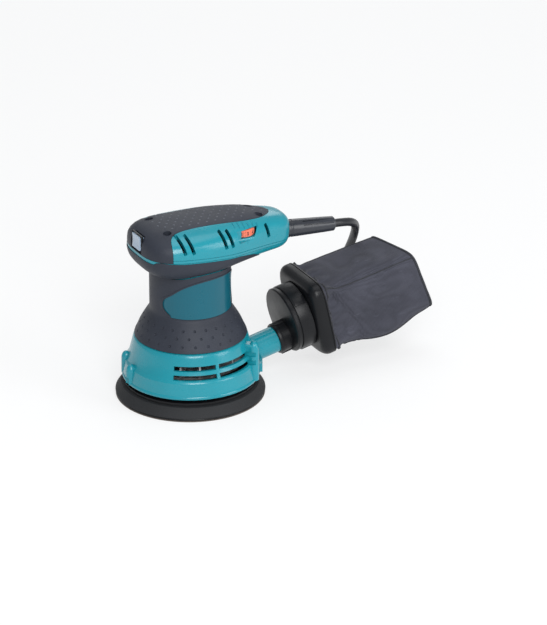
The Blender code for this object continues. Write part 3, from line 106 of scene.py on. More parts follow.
# ---------------------------------------------------------------- node materials
class Look:
    """A procedural material on the object's own coordinates, which are the row frame's, in metres."""

    def __init__(self, name, colour, roughness, metallic=0.0, **fixed):
        self.mat = bpy.data.materials.new(name)
        self.mat.use_nodes = True
        self.tree = self.mat.node_tree
        self.shader = self.tree.nodes["Principled BSDF"]
        self.place = self.add("ShaderNodeTexCoord").outputs["Object"]
        self.colour = (*colour, 1.0)
        self.roughness = roughness
        self.shader.inputs["Base Color"].default_value = self.colour
        self.shader.inputs["Roughness"].default_value = roughness
        self.shader.inputs["Metallic"].default_value = metallic
        for socket, value in fixed.items():
            self.shader.inputs[socket.replace("_", " ")].default_value = value

    def add(self, kind, inputs=None, **settings):
        node = self.tree.nodes.new(kind)
        for key, value in settings.items():
            setattr(node, key, value)
        for key, value in (inputs or {}).items():
            if isinstance(value, bpy.types.NodeSocket):
                self.tree.links.new(value, node.inputs[key])
            else:
                node.inputs[key].default_value = value
        return node

    def link(self, output, socket):
        self.tree.links.new(output, self.shader.inputs[socket])

    def noise(self, scale, detail=3.0, rough=0.55, place=None):
        node = self.add("ShaderNodeTexNoise", {"Vector": place or self.place, "Scale": scale,
                                               "Detail": detail, "Roughness": rough})
        return node.outputs["Fac"]

    def cells(self, scale, feature="F1", place=None):
        node = self.add("ShaderNodeTexVoronoi", {"Vector": place or self.place, "Scale": scale},
                        feature=feature)
        return node.outputs["Distance"]

    def bands(self, period, axis, warp=0.0, place=None):
        """Sine bands of that period across an axis."""
        node = self.add("ShaderNodeTexWave", {"Vector": place or self.place, "Scale": 0.314 / period,
                                              "Distortion": warp, "Detail": 2.0}, bands_direction=axis)
        return node.outputs["Fac"]

    def spread(self, value, low, high, start=0.3, end=0.7):
        node = self.add("ShaderNodeMapRange", {"Value": value, "From Min": start, "From Max": end,
                                               "To Min": low, "To Max": high})
        return node.outputs["Result"]

    def sum(self, a, b, operation="ADD"):
        node = self.add("ShaderNodeMath", operation=operation)
        for i, value in enumerate((a, b)):
            if isinstance(value, bpy.types.NodeSocket):
                self.tree.links.new(value, node.inputs[i])
            else:
                node.inputs[i].default_value = value
        return node.outputs[0]

    def stretched(self, scale, turn=(0, 0, 0)):
        node = self.add("ShaderNodeMapping", {"Vector": self.place, "Scale": scale, "Rotation": turn})
        return node.outputs["Vector"]

    def tint(self, factor, dark=0.85, light=1.12, base=None):
        """Colour between a darker and a lighter form of the base."""
        base = base or self.colour
        node = self.add("ShaderNodeMix", data_type="RGBA")
        self.tree.links.new(factor, node.inputs[0])
        node.inputs[6].default_value = (*(c * dark for c in base[:3]), 1)
        node.inputs[7].default_value = (*(min(1.0, c * light) for c in base[:3]), 1)
        return node.outputs[2]

    def over(self, factor, under, colour):
        """A second colour where the factor is 1."""
        node = self.add("ShaderNodeMix", data_type="RGBA")
        self.tree.links.new(factor, node.inputs[0])
        self.tree.links.new(under, node.inputs[6])
        node.inputs[7].default_value = (*colour, 1)
        return node.outputs[2]

    def bump(self, height, distance, strength=1.0, under=None):
        node = self.add("ShaderNodeBump", {"Height": height, "Distance": distance, "Strength": strength})
        if under is not None:
            self.tree.links.new(under, node.inputs["Normal"])
        self.link(node.outputs["Normal"], "Normal")
        return node.outputs["Normal"]


def moulded(name, colour, roughness, grain=900, depth=0.00003, vary=0.06, **fixed):
    """Injection moulded plastic: slow shade changes, uneven gloss and a fine spark-eroded grain."""
    look = Look(name, colour, roughness, **fixed)
    slow = look.noise(22, 3)
    fine = look.noise(420, 4)
    look.link(look.over(look.spread(fine, 0.0, 0.10, 0.62, 0.80), look.tint(look.spread(slow, 0, 1), 1 - vary,
                                                                            1 + vary),
                        [min(1.0, c * 1.5 + 0.01) for c in colour]), "Base Color")
    look.link(look.spread(look.noise(70, 4), roughness * 0.85, roughness * 1.2), "Roughness")
    look.bump(look.noise(grain, 3), depth)
    return look.mat


def rubber(name, colour, roughness, cell=1500, depth=0.00006, **fixed):
    """Moulded elastomer: matt stipple with a faint bloom."""
    look = Look(name, colour, roughness, **fixed)
    bloom = look.spread(look.noise(35, 5, 0.65), 0, 1, 0.35, 0.75)
    specks = look.spread(look.noise(900, 2), 0.0, 0.22, 0.60, 0.75)
    look.link(look.over(specks, look.tint(bloom, 0.90, 1.16), [c * 1.9 for c in colour]), "Base Color")
    look.link(look.spread(bloom, roughness * 0.92, min(1.0, roughness * 1.12), 0, 1), "Roughness")
    look.bump(look.sum(look.cells(cell), look.noise(700, 3)), depth)
    return look.mat


def foam():
    look = Look("foam", (0.009, 0.010, 0.012), 0.78)
    pores = look.cells(900)
    # The pores get a darker colour: painted shade in the hollows of the foam.
    look.link(look.over(look.spread(pores, 0.0, 0.35, 0.10, 0.0), look.tint(look.noise(60, 4), 0.75, 1.3),
                        (0.006, 0.006, 0.007)), "Base Color")
    look.bump(look.sum(pores, look.noise(240, 4)), 0.00016)
    return look.mat


def abrasive():
    look = Look("abrasive", (0.045, 0.036, 0.030), 0.85)
    grit = look.cells(1600)
    look.link(look.over(look.spread(grit, 0.0, 0.8, 0.35, 0.60), look.tint(look.noise(1200, 3), 0.6, 1.5),
                        (0.11, 0.09, 0.075)), "Base Color")
    look.link(look.spread(look.noise(1500, 2), 0.45, 0.95), "Roughness")
    look.bump(grit, 0.00025)
    return look.mat


def metal(name, colour, roughness, stretch=(1, 1, 30), depth=0.00002, wave=None, grain=260):
    """Turned, stamped or laminated metal; a wave gives stacked sheets or wound wire, with painted shade in
    the grooves between them.
    """
    look = Look(name, colour, roughness, 1.0)
    lines = look.noise(grain, 3, 0.6, look.stretched(stretch))
    height = lines
    shade = look.tint(lines, 0.78, 1.15)
    if wave:
        period, axis = wave
        height = look.bands(period, axis, 0.6)
        # Painted shade: the grooves between the sheets or wires are darkened.
        shade = look.over(look.spread(height, 0.75, 0.0, 0.0, 0.35), shade, [c * 0.25 for c in colour])
        depth = period * 0.3
    look.link(shade, "Base Color")
    look.link(look.spread(look.noise(90, 4), roughness * 0.8, roughness * 1.4), "Roughness")
    look.bump(height, depth)
    return look.mat


def cloth(name, colour, period=0.0011, **fixed):
    """Plain woven cloth: threads along each axis of the bag with painted shade between them, slubs and a
    little lint.
    """
    look = Look(name, colour, 0.86, **fixed)
    place = look.stretched((1, 1, 1), (0, SPOUT_TILT, 0))
    weave = look.sum(look.sum(look.bands(period, "X", 0.8, place), look.bands(period, "Y", 0.8, place)),
                     look.bands(period, "Z", 0.8, place))
    slub = look.noise(260, 4, 0.6, look.stretched((0.25, 1, 1), (0, SPOUT_TILT, 0)))
    worn = look.spread(look.noise(24, 5, 0.6), 0, 1, 0.35, 0.72)
    shade = look.tint(worn, 0.82, 1.22)
    # Darker where the weave is low: painted shade in the hollows between the threads.
    shade = look.over(look.spread(weave, 0.45, 0.0, 0.6, 1.7), shade, [c * 0.35 for c in colour])
    lint = [min(1, c * 2.1 + 0.02) for c in colour]
    shade = look.over(look.spread(slub, 0.0, 0.35, 0.60, 0.80), shade, lint)
    look.link(shade, "Base Color")
    look.link(look.spread(slub, 0.78, 0.95), "Roughness")
    look.bump(look.sum(weave, look.sum(slub, 1.5, "MULTIPLY")), 0.00016, 0.9)
    return look.mat


def board():
    look = Look("board", (0.02, 0.11, 0.045), 0.35)
    tracks = look.bands(0.0022, "X", 3.0)
    pads = look.cells(260)
    shade = look.over(look.spread(tracks, 0, 0.6, 0.7, 0.8), look.tint(look.noise(150), 0.8, 1.2),
                      (0.05, 0.22, 0.09))
    look.link(look.over(look.spread(pads, 1.0, 0.0, 0.10, 0.14), shade, (0.55, 0.56, 0.52)), "Base Color")
    look.bump(tracks, 0.00006)
    return look.mat


TEAL = (0.005, 0.225, 0.285)
LOOKS = {
    "teal_plastic": moulded("teal_plastic", TEAL, 0.26, 700, 0.000020, 0.05, Coat_Weight=0.22,
                            Coat_Roughness=0.10, Specular_IOR_Level=0.42),
    "dark_rubber": rubber("dark_rubber", (0.027, 0.031, 0.043), 0.52, Specular_IOR_Level=0.22),
    "black_plastic": moulded("black_plastic", (0.007, 0.0075, 0.0090), 0.34, 1100, 0.00004, 0.12,
                             Specular_IOR_Level=0.22),
    "cord_rubber": rubber("cord_rubber", (0.010, 0.011, 0.015), 0.38, 1800, 0.00003),
    "foam": foam(),
    "abrasive": abrasive(),
    "steel": metal("steel", (0.56, 0.57, 0.58), 0.28),
    "aluminium": metal("aluminium", (0.66, 0.67, 0.68), 0.38, (1, 1, 1), 0.00008),
    "copper": metal("copper", (0.72, 0.30, 0.15), 0.30, wave=(0.0006, "Z")),
    "lamination": metal("lamination", (0.28, 0.28, 0.30), 0.45, wave=(0.0008, "Z")),
    "brass": metal("brass", (0.75, 0.55, 0.26), 0.32),
    "carbon": rubber("carbon", (0.025, 0.025, 0.027), 0.65, 2500),
    "board": board(),
    "orange_plastic": moulded("orange_plastic", (0.72, 0.19, 0.115), 0.42, 900, 0.00003, 0.08),
    "pale_switch": moulded("pale_switch", (0.30, 0.40, 0.53), 0.20, 500, 0.00002, 0.08, Coat_Weight=0.6,
                           Transmission_Weight=0.12),
    "cloth": cloth("cloth", (0.056, 0.058, 0.076), Sheen_Weight=0.06, Sheen_Roughness=0.4,
                   Specular_IOR_Level=0.2),
}
TAPE = cloth("edge_tape", (0.024, 0.026, 0.034), 0.0007, Sheen_Weight=0.05)
PIPS = rubber("pip_rubber", (0.075, 0.085, 0.105), 0.45)
DARK_STEEL = metal("dark_steel", (0.10, 0.10, 0.11), 0.38)
GUARD = rubber("guard_rubber", (0.022, 0.025, 0.033), 0.28, 1400, 0.00002)
DARK = moulded("dark_marks", (0.010, 0.012, 0.016), 0.55)
# A darker teal for the window panel on the neck: painted shade on a panel that is the same teal as the rest.
SHADED_PANEL = moulded("teal_panel_painted_shade", (0.0022, 0.090, 0.130), 0.30, 700, 0.000020, 0.05, Coat_Weight=0.10,
                Specular_IOR_Level=0.30)
TEAL_DEEP = moulded("teal_marks", (0.003, 0.17, 0.23), 0.35, 700, 0.00002)


# ---------------------------------------------------------------- mesh tools
def put(name, bm, matrix=None):
    bmesh.ops.recalc_face_normals(bm, faces=bm.faces)
    mesh = bpy.data.meshes.new(name)
    bm.to_mesh(mesh)
    bm.free()
    if matrix is not None:
        mesh.transform(matrix)
    ob = bpy.data.objects.new(name, mesh)
    SCENE.collection.objects.link(ob)
    return ob


def lathe(name, profile, steps=128, closed=False, matrix=None):
    bm = bmesh.new()
    columns = []
    for r, z in profile:
        if r < 1e-6:
            columns.append([bm.verts.new((0, 0, z))])
        else:
            turn = [2 * pi * i / steps for i in range(steps)]
            columns.append([bm.verts.new((r * cos(a), r * sin(a), z)) for a in turn])
    pairs = list(zip(columns, columns[1:]))
    if closed:
        pairs.append((columns[-1], columns[0]))
    for a, b in pairs:
        for i in range(steps):
            j = (i + 1) % steps
            face = []
            for v in (a[i % len(a)], a[j % len(a)], b[j % len(b)], b[i % len(b)]):
                if v not in face:
                    face.append(v)
            if len(face) > 2:
                bm.faces.new(face)
    return put(name, bm, matrix)


def rod(name, radius, low, high, steps=48, matrix=None):
    return lathe(name, [(0, high), (radius, high), (radius, low), (0, low)], steps, False, matrix)


def slab(name, low, high, matrix=None, bevel=0.0, segments=3):
    bm = bmesh.new()
    bmesh.ops.create_cube(bm, size=1.0)
    low, high = Vector(low), Vector(high)
    bmesh.ops.scale(bm, vec=high - low, verts=bm.verts)
    bmesh.ops.translate(bm, vec=(high + low) / 2, verts=bm.verts)
    if bevel:
        bmesh.ops.bevel(bm, geom=bm.edges[:], offset=bevel, segments=segments, affect="EDGES", profile=0.5)
    return put(name, bm, matrix)


def prism(name, outline, low, high, matrix=None):
    bm = bmesh.new()
    under = [bm.verts.new((x, y, low)) for x, y in outline]
    over = [bm.verts.new((x, y, high)) for x, y in outline]
    bm.faces.new(under[::-1])
    bm.faces.new(over)
    for i in range(len(outline)):
        j = (i + 1) % len(outline)
        bm.faces.new((under[i], under[j], over[j], over[i]))
    return put(name, bm, matrix)


def loft(name, rings, matrix=None, caps=(True, True)):
    bm = bmesh.new()
    rows = [[bm.verts.new(p) for p in points] for points in rings]
    count = len(rows[0])
    for a, b in zip(rows, rows[1:]):
        for i in range(count):
            j = (i + 1) % count
            bm.faces.new((a[i], a[j], b[j], b[i]))
    if caps[0]:
        bm.faces.new(rows[0][::-1])
    if caps[1]:
        bm.faces.new(rows[-1])
    return put(name, bm, matrix)


def carve(ob, *steps):
    """Boolean steps of (operation, object) on ob, baked into its mesh; the other objects are removed."""
    words = {"+": "UNION", "-": "DIFFERENCE", "&": "INTERSECT"}
    for sign, other in steps:
        change = ob.modifiers.new(other.name, "BOOLEAN")
        change.operation = words[sign]
        change.solver = "EXACT"
        change.object = other
    bpy.context.view_layer.update()
    graph = bpy.context.evaluated_depsgraph_get()
    mesh = bpy.data.meshes.new_from_object(ob.evaluated_get(graph))
    ob.modifiers.clear()
    ob.data = mesh
    for _, other in steps:
        if other.name in bpy.data.objects:
            bpy.data.objects.remove(other, do_unlink=True)
    return ob


def merged(name, obs):
    """The meshes of several objects as one object."""
    bm = bmesh.new()
    for ob in obs:
        bm.from_mesh(ob.data)
        bpy.data.objects.remove(ob, do_unlink=True)
    return put(name, bm)


def piece(ob, slot, body="housing", replaces=(), look=None, angle=32):
    """Finishes a visible piece: material, smooth shading, the body it rides on and the node it stands for."""
    ob.data.materials.clear()
    ob.data.materials.append(look or LOOKS[slot])
    if ob.type == "MESH":
        ob.data.shade_smooth()
        ob.data.set_sharp_from_angle(angle=radians(angle))
    if replaces:
        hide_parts(*replaces)
    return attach(ob, body)


def around(radius, angle, z=0.0):
    return Vector((radius * cos(angle), radius * sin(angle), z))


def oval(a, b, power, count, under=None):
    """Points of a superellipse; under gives the lower half a power of its own."""
    points = []
    for i in range(count):
        angle = 2 * pi * (i + 0.5) / count
        c, s = cos(angle), sin(angle)
        k = under if under and s < 0 else power
        reach = (abs(c) ** k + abs(s) ** k) ** (-1 / k)
        points.append((a * c * reach, b * s * reach))
    return points


def catmull(points, spacing):
    """Points about one spacing apart on a smooth curve through the given points."""
    points = [Vector(p) for p in points]
    ends = [points[0] * 2 - points[1]] + points + [points[-1] * 2 - points[-2]]
    fine = []
    for i in range(1, len(ends) - 2):
        a, b, c, d = ends[i - 1:i + 3]
        for k in range(12):
            t = k / 12
            fine.append(0.5 * (2 * b + (c - a) * t + (2 * a - 5 * b + 4 * c - d) * t ** 2
                               + (3 * b - a - 3 * c + d) * t ** 3))
    fine.append(points[-1])
    total = sum((q - p).length for p, q in zip(fine, fine[1:]))
    count = max(2, round(total / spacing))
    picked = [fine[0]]
    run = 0.0
    for p, q in zip(fine, fine[1:]):
        run += (q - p).length
        if run >= total * len(picked) / count and len(picked) < count:
            picked.append(q)
    picked.append(fine[-1])
    return picked


def rounded_path(points, closed=True, steps=6):
    """A smooth closed outline of 2-D points."""
    n = len(points)
    out = []
    for i in range(n):
        a, b, c, d = (Vector(points[(i + k) % n]) for k in (-1, 0, 1, 2))
        for k in range(steps):
            t = k / steps
            p = 0.5 * (2 * b + (c - a) * t + (2 * a - 5 * b + 4 * c - d) * t ** 2
                       + (3 * b - a - 3 * c + d) * t ** 3)
            out.append((p.x, p.y))
    return out


def smooth_value(x, stations):
    """Smooth interpolation between stations of (x, value) that keeps to their line."""
    if x <= stations[0][0]:
        return stations[0][1]
    for i, ((x0, v0), (x1, v1)) in enumerate(zip(stations, stations[1:])):
        if x <= x1:
            t = (x - x0) / (x1 - x0)
            before = stations[i - 1] if i else (2 * x0 - x1, v0)
            after = stations[i + 2] if i + 2 < len(stations) else (2 * x1 - x0, 2 * v1 - v0)
            m0 = (v1 - before[1]) / (x1 - before[0]) * (x1 - x0)
            m1 = (after[1] - v0) / (after[0] - x0) * (x1 - x0)
            return ((2 * t ** 3 - 3 * t ** 2 + 1) * v0 + (t ** 3 - 2 * t ** 2 + t) * m0
                    + (3 * t ** 2 - 2 * t ** 3) * v1 + (t ** 3 - t ** 2) * m1)
    return stations[-1][1]


# ---------------------------------------------------------------- cord
def cord():
    """The lead to the floor behind the bag, about six turns wound up, and the tail with its plug."""
    points = [Vector(p) for p in catmull(LEAD, 0.006)]
    rings = ((0.0470, 0.0037), (0.0400, 0.0037), (0.0330, 0.0037), (0.0365, 0.0102), (0.0435, 0.0102),
             (0.0400, 0.0172))
    start_angle, sweep = radians(176), radians(6 * 360 + 104)
    steps = 6 * 30 + 9
    for i in range(1, steps):
        gone = sweep * i / steps
        turn = gone / (2 * pi)
        k = int(turn)
        here = rings[min(k, 5)] if k < 6 else (0.0403, 0.0240)
        before = (0.0500, 0.0046) if k == 0 else rings[k - 1]
        t = min(1.0, (turn - k) / (0.20 if k < 6 else 0.26))
        t = t * t * (3 - 2 * t)
        r = before[0] + (here[0] - before[0]) * t
        z = before[1] + (here[1] - before[1]) * t
        crossing = exp(-(((turn - k) * 360 - 25) / 28) ** 2)
        z += 0.0010 * crossing * (k > 2)
        spot = around(r, start_angle - gone) + COIL_MID
        points.append(Vector((spot.x, spot.y, z)))
    tail = [Vector(p) for p in catmull(TAIL, 0.006)]
    points += tail[1:]
    curve = bpy.data.curves.new("cord", "CURVE")
    curve.dimensions = "3D"
    curve.bevel_depth = CORD_R
    curve.bevel_resolution = 5
    curve.use_fill_caps = True
    spline = curve.splines.new("POLY")
    spline.points.add(len(points) - 1)
    for point, co in zip(spline.points, points):
        point.co = (*co, 1)
    spline.use_smooth = True
    ob = bpy.data.objects.new("cord", curve)
    SCENE.collection.objects.link(ob)
    piece(ob, "cord_rubber", replaces=("cord_lead", "cord_coil", "cord_tail"))
    body, blades = plug(catmull(TAIL, 0.0075))
    tie = cord_tie()


def plug(points):
    direction = (points[-1] - points[-2]).normalized()
    matrix = (Matrix.Translation(points[-1]) @ Matrix.Rotation(atan2(direction.y, direction.x), 4, "Z")
              @ Matrix.Rotation(pi / 2, 4, "Y"))
    stations = [(0.0003, 0.0046, 0.0046)]
    for i in range(4):
        z = 0.0016 + 0.0022 * i
        stations += [(z, 0.0050, 0.0050), (z + 0.0010, 0.0050, 0.0050), (z + 0.0012, 0.0042, 0.0042),
                     (z + 0.0020, 0.0042, 0.0042)]
    stations += [(0.0108, 0.0078, 0.0068), (0.0128, 0.0096, 0.0080), (0.0158, 0.0109, 0.0086)]
    for i in range(5):
        z = 0.0172 + 0.0022 * i
        stations += [(z, 0.0114, 0.0087), (z + 0.0004, 0.0111, 0.0084), (z + 0.0011, 0.0111, 0.0084),
                     (z + 0.0015, 0.0116, 0.0088)]
    stations += [(0.0300, 0.0119, 0.0089), (0.0335, 0.0115, 0.0086), (0.0347, 0.0108, 0.0080),
                 (0.0350, 0.0100, 0.0072)]
    rings = [[Vector((b, a, z)) for a, b in oval(wide, tall, 3.0, 56)] for z, wide, tall in stations]
    body = piece(loft("plug_body", rings, matrix), "cord_rubber", replaces=("plug",), angle=40)
    made = []
    for side in (-1, 1):
        y = side * 0.00635
        blade = slab("blade", (-0.0031, y - 0.0007, 0.0340), (0.0031, y + 0.0007, 0.0518), None, 0.0004, 2)
        hole = rod("hole", 0.0016, -0.02, 0.02, 20,
                   Matrix.Translation((0, 0, 0.0480)) @ Matrix.Rotation(pi / 2, 4, "X"))
        made.append(carve(blade, ("-", hole)))
    blades = merged("plug_blades", made)
    blades.data.transform(matrix)
    return body, piece(blades, "brass")


def cord_tie():
    """A strap round the coil with its buckle."""
    low, high, inner, outer = 0.0010, 0.0220, 0.0295, 0.0505
    matrix = Matrix.Translation(COIL_MID) @ Matrix.Rotation(radians(-60), 4, "Z")
    rings = []
    middle = Vector(((inner + outer) / 2, 0, (low + high) / 2))
    for y in (-0.0040, -0.0034, 0.0034, 0.0040):
        thick = 0.0007 if abs(y) > 0.0037 else 0.0011
        outer_ring = [Vector((middle.x + a, y, middle.z + b))
                      for a, b in oval(0.0108 + thick, 0.0104 + thick, 4, 40)]
        rings.append(outer_ring)
    hole_rings = [[Vector((middle.x + a, y, middle.z + b)) for a, b in oval(0.0106, 0.0102, 4, 40)]
                  for y in (-0.006, 0.006)]
    band = carve(loft("cord_strap", rings), ("-", loft("strap_room", hole_rings)))
    buckle = slab("strap_buckle", (middle.x - 0.0030, -0.0046, high - 0.0004),
                  (middle.x + 0.0030, 0.0046, high + 0.0008), None, 0.0004, 2)
    strap = merged("cord_strap", [band, buckle])
    strap.data.transform(matrix)
    return piece(strap, "black_plastic", replaces=("cord_tie",))


# ---------------------------------------------------------------- head
def share(x, power):
    back, front = NOSE_X + NOSE_LENGTH, TAIL_X - TAIL_LENGTH
    t = 0.0
    if x < back:
        t = min(1.0, (back - x) / NOSE_LENGTH)
    elif x > front:
        t = min(1.0, (x - front) / TAIL_LENGTH)
        power = 4.2
    return (1 - t ** power) ** (1 / power)


def head_sizes(x):
    """Half width, crown and belly of the head at x."""
    taper = smooth_value(x, ((0.0, 1.0), (0.020, 0.955), (0.040, 0.80), (0.060, 0.63), (0.080, 0.50),
                             (0.090, 0.44)))
    crown = smooth_value(x, ((0.0, CROWN), (0.045, CROWN - 0.0010), (0.065, CROWN - 0.0045),
                             (0.085, CROWN - 0.0075)))
    belly = smooth_value(x, ((0.0, 0.0240), (0.030, 0.0205), (0.060, 0.0190), (0.085, 0.0183)))
    return HALF_WIDTH * taper * share(x, 3.3), crown * share(x, 3.6), belly * share(x, 3.0)


def head(name, inset, count=96):
    low, high = NOSE_X + inset, TAIL_X - inset
    back, front = NOSE_X + NOSE_LENGTH, TAIL_X - TAIL_LENGTH
    stations = [low + (back - low) * (1 - cos(pi / 2 * t)) for t in TAIL_STEPS]
    stations += [back + (front - back) * i / 16 for i in range(1, 16)]
    stations += [high - (high - front) * (1 - cos(pi / 2 * t)) for t in NOSE_STEPS]
    rings = []
    for x in stations:
        at = x
        if x < back:
            at = NOSE_X + (x - low) * NOSE_LENGTH / (back - low)
        elif x > front:
            at = TAIL_X - (high - x) * TAIL_LENGTH / (high - front)
        wide, crown, belly = (max(v - inset, 0.0003) for v in head_sizes(at))
        rings.append([Vector((x, a * wide, MID_Z + b * (crown if b > 0 else belly)))
                      for a, b in oval(1.0, 1.0, POWER, count, BELLY_POWER)])
    return loft(name, rings)


def parting_slab(name, low, high):
    """A wide slab between two heights over the slanted parting plane."""
    matrix = Matrix.Translation(PARTING_FRONT) @ Matrix.Rotation(atan2(PARTING_SLOPE, 1), 4, "Y")
    return slab(name, (-0.10, -0.08, low), (0.15, 0.08, high), matrix)


def grip_outline(spread):
    half = [(-0.0325, 0.0600), (-0.0318, 0.0400), (-0.0303, 0.0292), (-0.0268, 0.0230), (-0.0200, 0.0198),
            (-0.0080, 0.0182), (0.0080, 0.0180), (0.0250, 0.0188), (0.0400, 0.0185), (0.0520, 0.0160),
            (0.0620, 0.0110), (0.0680, 0.0055), (0.0702, 0.0)]
    fine = catmull([(x, y, 0) for x, y in half], 0.002)
    side = [(p.x + spread * 0.6, p.y + spread) for p in fine[:-1]] + [(half[-1][0] + spread, 0.0)]
    far = [(x, y + 0.0055 * max(0.0, 1 - (x / 0.060) ** 2) ** 0.5 * (x > -0.026)) for x, y in side]
    return [(-0.0800, 0.0600)] + far + [(x, -y) for x, y in side[-2::-1]] + [(-0.0800, -0.0600)]


WINDOW = [(-0.0225, 0.0785), (-0.0275, 0.0805), (-0.0305, 0.0850), (-0.0311, 0.0900), (-0.0300, 0.0945),
          (-0.0268, 0.0985), (-0.0215, 0.1040), (-0.0150, 0.1078), (-0.0060, 0.1105), (0.0060, 0.1116),
          (0.0200, 0.1112), (0.0285, 0.1090), (0.0322, 0.1030), (0.0322, 0.0860), (0.0290, 0.0800),
          (0.0230, 0.0785)]


def window_block(name, spread, near=0.0040):
    middle = Vector((0.0, 0.0950))
    grown = [Vector(p) + (Vector(p) - middle).normalized() * spread for p in WINDOW]
    return prism(name, rounded_path(grown), near, 0.0500, Matrix.Rotation(pi / 2, 4, "X"))


def flare_profile(inset, low, high):
    """Outer side of the neck and flare from top to bottom, drawn in by an inset."""
    base = SHROUD_TOP + 0.0006
    points = [(NECK_R - inset, high), (NECK_R - inset, base + 0.0400)]
    stations = [(rise, r) for r, rise in FLARE]
    for i in range(21):
        rise = FLARE[-1][1] * (1 - i / 20)
        points.append((smooth_value(rise, stations) - inset, max(low, base + rise)))
    return points


def surface_point(x, y):
    """Point and normal on the head's top at (x, y)."""
    def height(px, py):
        wide, crown, _ = head_sizes(px)
        return MID_Z + crown * max(0.0, 1 - abs(py / wide) ** POWER) ** (1 / POWER)
    e = 0.0005
    slope_x = (height(x + e, y) - height(x - e, y)) / (2 * e)
    slope_y = (height(x, y + e) - height(x, y - e)) / (2 * e)
    return Vector((x, y, height(x, y))), Vector((-slope_x, -slope_y, 1)).normalized()


def switch_cuts():
    x, z = SWITCH_MID.x, SWITCH_MID.z
    wide, tall = 0.0076 + 0.0023, 0.0055 + 0.0023
    opening = slab("opening", (x - 0.0110, -0.0082, z - 0.0063), (x + 0.0178, 0.0082, z + 0.0063))
    pocket = slab("pocket", (x - 0.0100, -wide, z - tall), (x - 0.0007, wide, z + tall))
    return [("-", opening), ("-", pocket)]


def screw_sinks():
    cuts = []
    for x, y in SCREW_PLACES:
        at = Matrix.Translation((x, y, 0))
        cuts.append(("-", rod("sink", 0.0040, 0.1437, 0.1600, 40, at)))
        cuts.append(("-", rod("hole", 0.0021, 0.1200, 0.1500, 24, at)))
    return cuts


def slot_cuts(side):
    cuts = []
    for i, (x, low, high) in enumerate(SLOTS):
        ends = sorted((side * (0.0215 if x < 0.040 else 0.0145), side * 0.0450))
        matrix = Matrix.Translation((x, 0, SLOT_MID_Z)) @ Matrix.Rotation(-SLOT_TILT, 4, "Y")
        cuts.append(("-", slab(f"slot_{i}", (-SLOT_WIDTH / 2, ends[0], low - SLOT_MID_Z),
                               (SLOT_WIDTH / 2, ends[1], high - SLOT_MID_Z), matrix, 0.0006, 2)))
    return cuts


def guard_room():
    matrix = Matrix.Translation(GUARD_START) @ Matrix.Rotation(pi / 2 + GUARD_DROP, 4, "Y")
    return ("-", rod("guard_hole", 0.0063, -0.0140, 0.0080, 40, matrix))


def head_pieces():
    cover = head("cover_shell", 0.0)
    groove = carve(parting_slab("groove", 0.0022, 0.0027), ("-", head("groove_core", 0.0005)))
    recess = slab("recess", (0.0275, -0.0400, 0.1380), (0.0495, -0.0288, 0.1482), None, 0.0016, 3)
    window_low, window_high = DIAL_MID.z - DIAL_T / 2 - 0.0006, DIAL_MID.z + DIAL_T / 2 + 0.0006
    carve(cover, ("-", prism("grip_room", grip_outline(0.0003), 0.11, 0.17)),
          ("+", head("cover_core", RUBBER_T + 0.0012)),
          ("&", parting_slab("above", 0.00015, 0.06)),
          ("-", head("cover_hollow", 0.0046)), ("-", groove), ("-", recess),
          ("-", slab("clamp_room", (0.0625, -0.0120, 0.1200), (0.0738, 0.0120, 0.1300))),
          ("-", rod("dial_room", DIAL_R + 0.0006, window_low, window_high, 64,
                    Matrix.Translation((DIAL_MID.x, DIAL_MID.y, 0)))),
          ("-", slab("dial_window", (DIAL_MID.x - 0.0057, -0.0400, window_low), (DIAL_MID.x + 0.0057,
                     DIAL_MID.y - 0.0053, window_high), None, 0.0005, 2)),
          *slot_cuts(-1), *slot_cuts(1), *switch_cuts(), *screw_sinks(), guard_room())
    piece(cover, "teal_plastic", replaces=("top_cover",))
    marks = []
    for i in range(6):
        x = 0.0278 + 0.0043 * i
        z = 0.1490 - 0.0014 * i * 0.55
        marks.append(slab("tick", (x - 0.00025, -0.0380, z), (x + 0.00025, -0.0200, z + 0.0030)))
    marks.append(slab("pointer", (0.0365, -0.0400, 0.1362), (0.0369, -0.0250, 0.1374)))
    ticks = carve(merged("dial_ticks", marks), ("&", head("tick_skin", -0.00022)),
                  ("-", head("tick_core", 0.0006)))
    piece(ticks, "teal_plastic", look=TEAL_DEEP)

    grip = head("grip_skin", -0.0001)
    carve(grip, ("-", head("grip_hollow", RUBBER_T)),
          ("&", prism("grip_region", grip_outline(0.0), 0.11, 0.17)),
          ("&", parting_slab("above_grip", 0.00015, 0.06)), *switch_cuts(), *screw_sinks())
    piece(grip, "dark_rubber", replaces=("top_grip",))
    liners = []
    for x, y in SCREW_PLACES:
        profile = [(0.00396, 0.1600), (0.00396, 0.1442), (0.0034, 0.1442), (0.0034, 0.1600)]
        liners.append(lathe("liner", profile, 40, True, Matrix.Translation((x, y, 0))))
    piece(carve(merged("sink_liners", liners), ("&", head("liner_skin", -0.0002))), "dark_rubber")
    pips = []
    row = 0
    y = -0.0330
    limits = [(p[0], p[1]) for p in grip_outline(-0.0026) if p[1] > 0]
    while y < 0.0335:
        x = -0.0290 + (row % 2) * 0.00385
        while x < 0.066:
            inset = 0.0 if y > 0 else 0.0050 * (-0.026 < x < 0.05)
            edge = min((abs(px - x), py) for px, py in limits)[1] - inset
            near_screw = any(sqrt((x - sx) ** 2 + (y - sy) ** 2) < 0.0062 for sx, sy in SCREW_PLACES)
            if abs(y) < edge - 0.0010 and abs(y) < head_sizes(x)[0] - 0.0070 and not near_screw:
                spot, normal = surface_point(x, y)
                turn = normal.to_track_quat("Z", "Y").to_matrix().to_4x4()
                dome = [(0, 0.00042), (0.00045, 0.00036), (0.00080, 0.00018), (0.00100, -0.0004),
                        (0, -0.0004)]
                pips.append(lathe("pip", dome, 10, False, Matrix.Translation(spot) @ turn))
            x += 0.0077
        y += 0.0052
        row += 1
    piece(merged("grip_pips", pips), "dark_rubber", look=PIPS)


